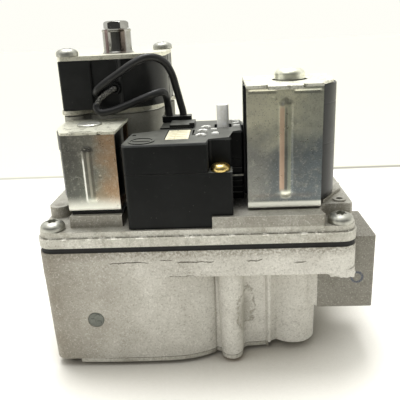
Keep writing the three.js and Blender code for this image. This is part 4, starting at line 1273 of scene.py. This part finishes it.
def make_main_coil():
    low, high = span("main_solenoid_coil")
    z0, z1 = low.z, high.z
    foot = [(15.3 + 0.6 * math.sin(a), z0 + 2.4 - 2.4 * math.cos(a)) for a in angles(30, 55, 80)]
    profile = [
        (6.4, z0), (13.4, z0), *foot, (15.9, z0 + 3.4), (15.9, 76.9), (15.75, 77.1), (15.75, 77.3),
        (15.9, 77.5), (15.9, 90.4), (15.75, 90.6), (15.75, 90.8), (15.9, 91.0), (15.9, z1 - 0.3),
        (15.7, z1), (6.4, z1), (6.4, z0),
    ]
    cuts = limb_cuts("main_solenoid_frame", 1.1, MAIN_AXIS[1])
    side = low.x - MAIN_AXIS[0]
    rib = block(side, side + 3, -2.5, 2.5, z0 + 0.2, z1 - 0.2, 0.2)
    form("main_coil_moulding", COIL, [turned(profile, 72, 0.12), rib], cuts, "main_solenoid_coil",
         at=MAIN_AXIS)


def make_servo_solenoid():
    bent_frame("servo_frame_strip", "servo_solenoid_frame", (-37.1, -32.9, 60.4, 80.4, 0.5), [
        (-35.9, 79.2, 0.6, 0.2), (-34.4, 79.4, 0.55, 0.18), (-39.6, 69.6, 0.3, 0.1),
        (-31.4, 69.8, 0.4, 0.1),
    ], [], ZINC_SERVO)
    plate_low, plate_high = span("servo_solenoid_top_plate")
    z0, z1 = plate_low.z, plate_high.z
    outline = [
        (-41.6, -31.3), (-31.0, -31.3), (-31.0, -30.6), (-29.7, -30.6), (-29.7, -31.3),
        (-25.0, -31.3), (-25.0, -5.1), (-46.4, -5.1), (-47.6, -8), (-47.6, -18.6), (-46.7, -22.8),
        (-45.2, -27.0), (-43.9, -30.2), (-43.2, -31.1),
    ]
    cuts = [
        arc_slot(-37.2, -21.6, 8.6, 244, 298, 0.8, z0 - 1, z1 + 1),
        rod(*SERVO_AXIS, 4.5, 36, z0 - 1, z1 + 1),
    ]
    form("servo_top_sheet", ZINC_TOPS, [slab(outline, z0, z1, 0.22)], cuts,
         "servo_solenoid_top_plate")
    cap = turned([
        (0, z0 - 1), (4.3, z0 - 1), (4.3, z1 + 0.1), (4.1, z1 + 0.35), (3.7, z1 + 0.4),
        (3.3, z1 + 0.2), (2.9, z1 + 0.12), (0, z1 + 0.2),
    ], 44)
    place("servo_tube_end", moved(cap, *SERVO_AXIS), ZINC_TOPS)
    # A thin black block under the servo frame, which makes the dark slot under its foot.
    place("servo_foot_pad", block(-42.8, -24.6, -30.6, -6, 56.3, 57.3, 0.15), RUBBER)
    make_servo_coil()


def make_servo_coil():
    low, high = span("servo_solenoid_coil")
    c0, c1 = low.z, high.z
    profile = [
        (4.6, c0), (9.8, c0), (11.0, c0 + 1.2), (11.3, c0 + 2.4), (11.3, 75.9), (11.15, 76.1),
        (11.15, 76.4), (11.3, 76.6), (11.3, 77.4), (11.6, 77.6), (11.6, c1 - 0.2), (11.4, c1),
        (4.6, c1), (4.6, c0),
    ]
    cuts = limb_cuts("servo_solenoid_frame", 1.0, SERVO_AXIS[1])
    form("servo_coil_moulding", COIL, [turned(profile, 64, 0.1)], cuts, "servo_solenoid_coil",
         at=SERVO_AXIS)


# ---- regulator -------------------------------------------------------------------------------

SCREW_OFFSET = 16.1
SQUARE = 19.5
COIL_R = 19.4


def make_regulator_housing():
    low, high = span("regulator_housing")
    z0, z1 = low.z, high.z
    adds = [turned([
        (0, z0), (17, z0), (17, z0 + 4), (16.7, z0 + 5), (16.7, z1 - 3), (17, z1 - 2.4),
        (17, z1 - 0.3), (16.7, z1), (0, z1),
    ], 72)]
    for ear, web in zip(diagonal(SCREW_OFFSET), diagonal(12.9)):
        adds.append(rod(*ear, 3.8, 28, z0, z1, 0.3))
        adds.append(moved(tilted(block(-6, 6, -2, 2, z0, z1, 0.3), 45), *web))
    cuts = [rod(0, 0, 13, 44, 70, z1 + 1)]
    form("regulator_base", REG_ALLOY, adds, cuts, "regulator_housing", at=REG_AXIS)


def coil_outline():
    """Plan of the regulator's coil: round, with two square corners and a face for the leads."""
    r, s = COIL_R, SQUARE

    def where(y):
        return math.degrees(math.asin(y / r))

    return [
        (-s + 0.7, -s), (-7.6, -s), (-7.2, -s + 0.4), (-7.2, -18.1), (2.2, -18.1),
        *arc(4.6, -17.2, 2.4, 206, 264, 4), *arc(0, 0, r, 281, 360 + where(4), 16), (s - 0.2, 4),
        (s - 0.2, s - 0.6), (s - 0.8, s), (7.2, s),
        *arc(0, 0, r, 90 - where(7.2) + 2, 180 + where(4), 18), (-s + 0.2, -4),
        (-s + 0.2, -s + 0.5),
    ]


def make_regulator_coil():
    low, high = span("regulator_coil")
    z0, z1 = low.z, high.z
    cuts = [
        rod(0, 0, 6.1, 32, z0 - 1, z1 + 1),
        block(-20, -15.4, -SQUARE - 1, -SQUARE + 0.12, 96.2, 96.5, 0),
        *[rod(*hole, 2.1, 20, z0 - 1, z1 + 1) for hole in diagonal(SCREW_OFFSET)],
    ]
    form("regulator_coil_moulding", COIL, [slab(coil_outline(), z0, z1, 0.3)], cuts,
         "regulator_coil", at=REG_AXIS)
    for name, end in (("upper", LEAD_UPPER[-1]), ("lower", LEAD_LOWER[-1])):
        collar = turned([(1.5, 0), (2.1, 0), (2.1, 1.6), (1.9, 2.0), (1.5, 2.0), (1.5, 0)], 28)
        place(f"wire_entry_{name}", moved(collar, end[0], -3.2, end[2], ONTO_FRONT), COIL)


def make_regulator_plates():
    low, high = span("regulator_lower_plate")
    adds = [rod(0, 0, 17.8, 64, low.z, high.z, 0.25)]
    for ear, web in zip(diagonal(SCREW_OFFSET), diagonal(12)):
        adds.append(rod(*ear, 4.4, 28, low.z, high.z, 0.25))
        adds.append(moved(tilted(block(-6, 6, -4.4, 4.4, low.z, high.z, 0.2), 45), *web))
    form("regulator_lower_sheet", ZINC_YOKE, adds, [rod(0, 0, 6.05, 40, low.z - 1, high.z + 1)],
         "regulator_lower_plate", at=REG_AXIS)
    make_serrated_ring()
    low, high = span("regulator_top_plate")
    s = SQUARE
    outline = [
        (-s + 2, -s), *arc(s - 13, -s + 13, 13, -90, 0, 12), *arc(s - 2, s - 2, 2, 0, 90, 4),
        *arc(-s + 13, s - 13, 13, 90, 180, 12), *arc(-s + 2, -s + 2, 2, 180, 270, 4),
    ]
    cuts = [rod(0, 0, 6.05, 40, low.z - 1, high.z + 1)]
    cuts += [rod(*hole, 2.1, 20, low.z - 1, high.z + 1) for hole in diagonal(SCREW_OFFSET)]
    form("regulator_top_sheet", ZINC_YOKE, [slab(outline, low.z, high.z, 0.3)], cuts,
         "regulator_top_plate", at=REG_AXIS)


def make_serrated_ring():
    """A toothed spring washer between the lower plate and the coil's front corner."""
    bm = bmesh.new()
    sides, rings = 72, []
    for k, (radius, z) in enumerate([(13.5, 86.3), (16.6, 86.3), (16.6, 86.85), (13.5, 86.85)]):
        ring = []
        for i in range(sides):
            a = 2 * math.pi * i / sides
            r = radius + (0.35 * (i % 2) if 0 < k < 3 else 0)
            ring.append(bm.verts.new((r * math.cos(a), r * math.sin(a), z)))
        rings.append(ring)
    walls(bm, [*rings, rings[0]])
    place("regulator_tooth_washer", moved(bm, *REG_AXIS), STEEL)


def make_regulator_top():
    low, high = span("regulator_tube")
    seat = span("regulator_top_plate")[1].z
    r = 5.6
    flare = [
        (r + 0.75 * (1 - math.sin(a)), seat + 1.3 - 1.2 * math.cos(a))
        for a in angles(4, 20, 38, 58, 80)
    ]
    profile = [
        (4.7, low.z), (9.5, low.z), (9.5, low.z + 1.3), (r, low.z + 1.3), (r, seat - 0.1), *flare,
        (r, high.z - 1.1), (r + 0.18, high.z - 0.85), (r + 0.18, high.z - 0.3), (r - 0.1, high.z),
        (4.7, high.z), (4.7, low.z),
    ]
    place("regulator_sleeve", moved(turned(profile, 72), *REG_AXIS), TUBE_CHROME, "regulator_tube")
    for name, sign in (("front", -1), ("rear", 1)):
        node = f"regulator_screw_{name}"
        head = tilted(pan_head(4.1, 2.9, cross(2.2, 0.45), 1.3, 1.6), 30 * sign)
        at = (REG_AXIS[0] + sign * SCREW_OFFSET, REG_AXIS[1] + sign * SCREW_OFFSET, seat + 0.1)
        place(f"{node}_head", moved(head, *at), STEEL, node)
    make_adjusters()


def make_adjusters():
    low, high = span("max_adjusting_nut")
    face = high.z - 2.9
    hexagon = slab(arc(0, 0, 5.0, 0, 360, 6)[:-1], face, high.z, 0.35, steps=3)
    washer = turned([(0, face), (4.6, face), (4.6, face + 0.5), (0, face + 0.5)], 48)
    barrel = rod(0, 0, 4.4, 40, low.z, face + 0.2, 0.15)
    rounding = turned([
        (3.5, high.z + 0.2), (3.5, high.z), (4.1, high.z - 0.12), (4.7, high.z - 0.5),
        (5.1, high.z - 1.1), (6, high.z - 1.1), (6, high.z + 0.2), (3.5, high.z + 0.2),
    ], 48)
    cuts = [rounding, rod(0, 0, 2.55, 32, low.z - 1, high.z + 1)]
    form("max_adjuster_hex", CHROMED_STEEL, [hexagon, washer, barrel], cuts, "max_adjusting_nut",
         "max_adjuster", at=REG_AXIS)
    low, high = span("min_adjusting_screw")
    slot = block(-3, 3, -0.4, 0.4, high.z - 1, high.z + 1, 0)
    form("min_adjuster_screw", BRASS, [rod(0, 0, 2.3, 36, low.z, high.z, 0.2)], [slot],
         "min_adjusting_screw", "min_adjuster", at=REG_AXIS)


# ---- connection box --------------------------------------------------------------------------

BOX = {"x0": -22.5, "x1": 13.4, "rear": 17.6, "y0": -36.2, "y1": 5.3}
SEAM = 71.3
BOX_SCREW = (9.5, -33.1)
POST = (10.7, -7.4)
MARK_WIDTH = 0.95


def box_outline(notched):
    """Plan of the box; the lid is notched round the screw in its front corner."""
    x0, x1, rear, y0, y1 = BOX.values()
    cx, cy = BOX_SCREW[0] - 3.8, BOX_SCREW[1] + 3.7
    if notched:
        front = [
            (cx - 0.4, y0), (cx, y0 + 0.5), (cx, cy - 1.4),
            *arc(cx + 1.4, cy - 1.4, 1.4, 180, 90, 4), (x1 - 0.4, cy), (x1, cy + 0.4),
        ]
    else:
        front = [(x1 - 0.6, y0), (x1, y0 + 0.6)]
    return [
        *arc(x0 + 1.4, y0 + 1.4, 1.4, 180, 270, 5), *front, (x1, -18.2), (rear - 0.5, -18.2),
        (rear, -17.7), (rear, y1), (-12.6, y1), (-12.6, -8), *arc(-16.6, -9.6, 4.6, 0, -80, 6),
        (x0 + 0.8, -15.4), (x0, -16.2),
    ]


def make_box():
    low = span("box_base")[0]
    step = low.z + 4.2
    adds = [slab(box_outline(False), low.z, SEAM - 0.08, 0.3)]
    cuts = [
        block(6, 20, -40, 8, low.z - 1, step, 0), block(-26, 20, 5, 8, low.z - 1, step, 0),
        rod(*BOX_SCREW, 1.9, 20, 56.8, SEAM + 1), rod(*POST, 2.6, 24, 50, 90),
    ]
    form("box_base_shell", BOX_PLASTIC, adds, cuts, "box_base")
    fins = [block(13.2, 17.2, -18.9, -18.0, z, z + 0.6, 0.12) for z in (58.2, 60.4, 62.6, 67.4)]
    fins.append(block(17.2, 18.3, -3, 5, low.z + 5, 80.5, 0.1))
    form("box_fins", BOX_PLASTIC, fins)
    make_lid()
    make_box_screw()


def ellipse(cx, cy, a, b, sides=48):
    return [
        (cx + a * math.cos(t), cy + b * math.sin(t))
        for t in (2 * math.pi * i / sides for i in range(sides))
    ]


def make_lid():
    top = span("box_lid")[1].z
    lid = slab(box_outline(True), SEAM + 0.1, top, 0)
    lid_top = [e for e in lid.edges if all(abs(v.co.z - top) < 1e-4 for v in e.verts)]
    bmesh.ops.bevel(
        lid, geom=lid_top, offset=0.75, segments=4, profile=0.5, affect="EDGES", material=1,
    )
    near, far = span("plug_insert")
    window = rounded(near.x - 0.25, far.x + 0.25, near.y - 0.25, far.y + 0.25, 0.4, 3)
    rim = slab(ellipse(-16.5, -30.7, 4.4, 5.0), top - 1, top + 0.28, 0.12)
    bar = block(-19.4, -13.6, -31.1, -30.3, top - 1, top + 0.22, 0.1)
    step = block(-12.4, -0.2, -10.6, 5.2, top - 1, top + 0.55, 0.2)
    adds = [lid, rim, step]
    cuts = [
        slab(ellipse(-16.5, -30.7, 3.7, 4.3), top + 0.02, top + 1, 0),
        slab(window, top - 3, top + 1, 0),
        slab(rounded(POST[0] - 3.2, POST[0] + 3.2, -10.9, -3.9, 0.6, 3), top - 3, top + 1, 0),
        block(-0.1, 0.5, -22.5, -13.6, top - 1.2, top + 1, 0),
        block(-0.1, 1.5, -22.6, -21.6, top - 1.2, top + 1, 0),
        rod(-20.6, -20, 0.8, 20, top - 0.3, top + 1),
    ]
    form("box_lid_shell", BOX_PLASTIC, adds, cuts, "box_lid")
    place("box_lid_emblem", bar, BOX_PLASTIC)
    make_marks(top)


def make_marks(top):
    """Plain raised bars beside the terminals, painted pale as highlights."""
    strokes = []
    for cx, cy in ((3.0, -24.0), (3.4, -16.2), (4.4, -9.4)):
        strokes += [(cx - 0.7, cy, 2.6, 60), (cx + 0.9, cy, 2.6, -60)]
    strokes += [
        (8.0, -22.8, 2.4, 0), (8.0, -21.2, 1.6, 0), (7.4, -15.0, 2.0, 0), (15.6, -9.2, 2.4, 0),
        (15.6, -4.0, 2.6, 30), (15.8, 0.6, 2.8, -20), (14.6, 2.6, 2.2, 10),
    ]
    bars = []
    for cx, cy, length, angle in strokes:
        reach, half = length / 2, MARK_WIDTH / 2
        bar = block(-reach, reach, -half, half, top - 0.3, top + 0.5, 0.1)
        bars.append(moved(tilted(bar, angle), cx, cy))
    form("box_marks", MARK_PLASTIC, bars)


def make_box_screw():
    socket = [(-3.6, -0.42), (3.6, -0.42), (3.6, 0.42), (-3.6, 0.42)]
    dome = [
        (3.3 * math.cos(a) ** 0.7, 0.9 + 1.5 * math.sin(a))
        for a in angles(10, 25, 42, 60, 76)
    ]
    head = turned([
        (0, -2), (1.6, -2), (1.6, 0), (3.2, 0), (3.3, 0.15), (3.3, 0.9), *dome, (0, 2.4),
    ], 44)
    bm = tilted(carved([head], [slab(socket, 1.3, 4, 0)], BRASS), -24)
    place("box_screw_head", moved(bm, *BOX_SCREW, SEAM + 0.02), BRASS, "box_screw")


def make_terminals():
    low, high = span("plug_insert")
    top = high.z
    plug = block(low.x, high.x, low.y, high.y, low.z, top, 0.25)
    cuts = [block(low.x + 0.9, high.x - 0.9, y - 0.3, y + 0.3, top - 0.6, top + 1, 0.1)
            for y in ((low.y + high.y) / 2 + 3 * i for i in (-2, -1, 0, 1, 2))]
    cuts.append(block(low.x + 3.1, low.x + 3.4, low.y - 1, high.y + 1, top - 0.2, top + 1, 0))
    form("plug_block", CREAM, [plug], cuts, "plug_insert")
    low, high = span("plug_post")
    ribs = 28
    outline = []
    for i in range(ribs * 2):
        a = math.pi * i / ribs
        r = 2.2 - 0.13 * (i % 2)
        outline.append((POST[0] + r * math.cos(a), POST[1] + r * math.sin(a)))
    place("post_pin", slab(outline, low.z, high.z, 0.0), POST_STEEL, "plug_post")
    low, high = span("earth_tab")
    tab = block(low.x, high.x, low.y, high.y, low.z + 0.1, high.z - 0.1, 0.1)
    hole = rod(15.3, -18.95, 0.3, 16, low.z - 1, high.z + 1)
    form("earth_tab_blade", STEEL, [tab], [hole], "earth_tab")


def make_cable_clamp():
    low, high = span("cable_clamp")
    exits = [LEAD_UPPER[0][:2], LEAD_LOWER[0][:2]]
    adds = [
        slab([(-8.9, -10.4), (0.2, -10.4), (0.2, 1), (-8.9, 1)], low.z + 0.4, 82.7, 0.3),
        slab(rounded(low.x, -1.4, 0, 5.0, 0.7, 3), 82.0, high.z, 0.3),
        block(-12.1, -2, 0.5, 4.6, low.z + 0.4, 82.4, 0.2),
        block(-1.6, 0.2, -10.4, -7.4, 82, 83.3, 0.2),
    ]
    cuts = [rod(x, y, LEAD_D / 2 + 0.1, 24, 82.6, high.z + 1) for x, y in exits]
    form("cable_clamp_bar", BOX_PLASTIC, adds, cuts, "cable_clamp")


# ---- test nipples ----------------------------------------------------------------------------

def make_test_nipples():
    for side, x in (("inlet", 30), ("outlet", -43.5)):
        node = f"{side}_test_nipple"
        at = (x, span(node)[0].y + 4.5, 27)
        profile = [
            (0, -4.4), (3.1, -4.4), (3.1, 0), (5, 0), (5, 1.5), (4.4, 1.9), (4.1, 2.4), (4.1, 5.6),
            (4.6, 6.5), (4.6, 6.9), (4.1, 8), (0, 8),
        ]
        hexagon = slab(arc(0, 0, 5.0, 30, 390, 6)[:-1], 0.05, 1.6, 0.15)
        form(f"{side}_nipple_body", BRASS, [turned(profile, 48), hexagon],
             [rod(0, 0, 2.6, 32, -3.4, 9)], node, at=at, turn=ONTO_REAR)
        screw = f"{side}_test_screw"
        form(f"{side}_nipple_screw", STEEL, [rod(0, 0, 2.3, 36, -2.5, 6.6, 0.2)],
             [block(-3, 3, -0.4, 0.4, 5.6, 8, 0)], screw, screw, at=at, turn=ONTO_REAR)


# ---- springs and diaphragms ------------------------------------------------------------------

# CAD node, the valve that its loose end goes with, and whether that end is the lower one.
SOFT_PARTS = [
    ("inlet_valve_spring", "inlet_valve", True),
    ("outlet_valve_spring", "outlet_valve", True),
    ("servo_valve_spring", "servo_valve", True),
    ("regulator_spring", "regulator_armature", True),
    ("regulator_diaphragm", "regulator_armature", False),
    ("main_diaphragm", "outlet_valve", False),
]


def make_soft_parts():
    """The springs and diaphragms inside, copied from their CAD nodes and placed on no body."""
    for node, valve, lower_moves in SOFT_PARTS:
        look = STEEL if node.endswith("spring") else RUBBER
        bm = bmesh.new()
        bm.from_mesh(frame["nodes"][node].data)
        bm.transform(Matrix.Scale(1 / MM, 4) @ frame["nodes"][node].matrix_world)
        piece = place(f"{node}_body", bm, look, node, None)
        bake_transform(piece)


for make in (
    make_body, make_bottom_plate, make_gasket, make_cover, make_cover_screws, make_bottom_screws,
    make_main_solenoid, make_servo_solenoid, make_regulator_housing, make_regulator_coil,
    make_regulator_plates, make_regulator_top, make_box, make_terminals, make_cable_clamp,
    make_test_nipples, make_soft_parts,
):
    make()


# ---- floor and light -------------------------------------------------------------------------

FLOOR_LINE_Y = 228
FLOOR_REACH = 4000
LAMP_AIM = Vector((0, 0, 0.05))


def stage_plane(name, corners, material):
    mesh = bpy.data.meshes.new(name)
    mesh.from_pydata([Vector(c) * MM for c in corners], [], [tuple(range(len(corners)))])
    mesh.materials.append(material)
    plane = in_scene(name, mesh)
    return plane


def make_floor():
    s = Surface("paper", roughness=0.6)
    s.shader.inputs["Specular IOR Level"].default_value = 0.2
    back = s.axis("Y")
    past = s.band(back, FLOOR_LINE_Y - 2, FLOOR_LINE_Y + 2)
    tone = s.mix(past, (252, 250, 244), (227, 226, 211))
    strength = s.math("ADD", s.product(s.along("X", -60, 120), 0.25), 0.7)
    reach = s.math("ADD", s.product(s.along("X", 84, 36), 0.45), 0.3)
    tone = s.layers(
        tone,
        # A painted shadow line where the floor meets the backdrop, stronger to the right.
        ((150, 148, 138), s.within(back, FLOOR_LINE_Y, 6, 1), strength),
        # Painted contact shadow round the valve's base, weaker to the right.
        ((126, 118, 100), s.band(s.ao(52), 0.82, 0.28), reach),
    )
    s.bump(s.noise(1.2, 3), 0.02, 0.2)
    level = cad_box[0].z / MM - 0.05
    corners = [(x * FLOOR_REACH, y * FLOOR_REACH, level) for x, y in
               ((-1, -1), (1, -1), (1, 1), (-1, 1))]
    stage_plane("floor", corners, s.colour(tone))


def make_card():
    """A dim patch of floor in front that only the glossy metal sees, as it saw a dim room."""
    material = bpy.data.materials.new("dim_card")
    tree = Tree(material)
    tree.nodes.clear()
    place = tree.parts(tree.where())
    ramp = tree.nodes.new("ShaderNodeValToRGB")
    stops = [(0.0, 0.1), (0.2, 0.62), (0.45, 0.62), (0.62, 0.5), (0.76, 0.27), (0.9, 0.15),
             (0.98, 0.2), (1.0, 0.4)]
    while len(ramp.color_ramp.elements) < len(stops):
        ramp.color_ramp.elements.new(0.5)
    for element, (at, level) in zip(ramp.color_ramp.elements, stops):
        element.position = at
        element.color = (level, level * 0.99, level * 0.88, 1)
    tree.link(tree.spread(place["Y"], -1.2, -0.2), ramp.inputs["Fac"])
    glow = tree.nodes.new("ShaderNodeEmission")
    tree.link(ramp.outputs["Color"], glow.inputs["Color"])
    tree.link(tree.spread(place["X"], 0.02, 0.12, 1.0, 0.5), glow.inputs["Strength"])
    out = tree.nodes.new("ShaderNodeOutputMaterial")
    tree.link(glow.outputs["Emission"], out.inputs["Surface"])
    level = cad_box[0].z / MM + 0.2
    corners = [(-3000, -4000, level), (3000, -4000, level), (700, -214, level), (-700, -214, level)]
    card = stage_plane("card", corners, material)
    card.visible_camera = False
    card.visible_diffuse = False
    card.visible_shadow = False
    card.visible_transmission = False


def make_world():
    """Soft white room, dimmer in front, where the photographer stands."""
    world = bpy.data.worlds.new("room")
    bpy.context.scene.world = world
    tree = Tree(world)
    ahead = tree.parts(tree.where("Generated"))
    front = tree.spread(ahead["Y"], -0.75, 0.1, smooth=True)
    rise = tree.spread(ahead["Z"], 0.4, 1.0, high=0.75, smooth=True)
    tint = tree.nodes.new("ShaderNodeMix")
    tint.data_type = "RGBA"
    tint.inputs[6].default_value = (0.1, 0.1, 0.098, 1)
    tint.inputs[7].default_value = (1.0, 0.995, 0.93, 1)
    tree.link(tree.math("MAXIMUM", front, rise), tint.inputs[0])
    background = tree.nodes["Background"]
    tree.link(tint.outputs[2], background.inputs["Color"])
    background.inputs["Strength"].default_value = 1.0


def make_lights():
    sun = bpy.data.lights.new("overhead", "SUN")
    sun.energy = 2.3
    sun.angle = math.radians(30)
    lamp = in_scene("overhead", sun)
    lamp.rotation_euler = (math.radians(-17), math.radians(-5), 0)
    soft_lamp("fill", (-0.16, -0.56, 0.36), 0.5, 1.15, glossy=False)
    soft_lamp("softbox", (-0.12, -0.2, 0.42), 0.3, 0.25, glossy=True)


def soft_lamp(name, at, size, energy, glossy):
    panel = bpy.data.lights.new(name, "AREA")
    panel.energy = energy
    panel.size = size
    lamp = in_scene(name, panel)
    lamp.location = at
    lamp.rotation_euler = (LAMP_AIM - lamp.location).to_track_quat("-Z", "Y").to_euler()
    lamp.visible_glossy = glossy


make_floor()
make_card()
make_world()
make_lights()
bpy.context.scene.view_settings.view_transform = "Standard"
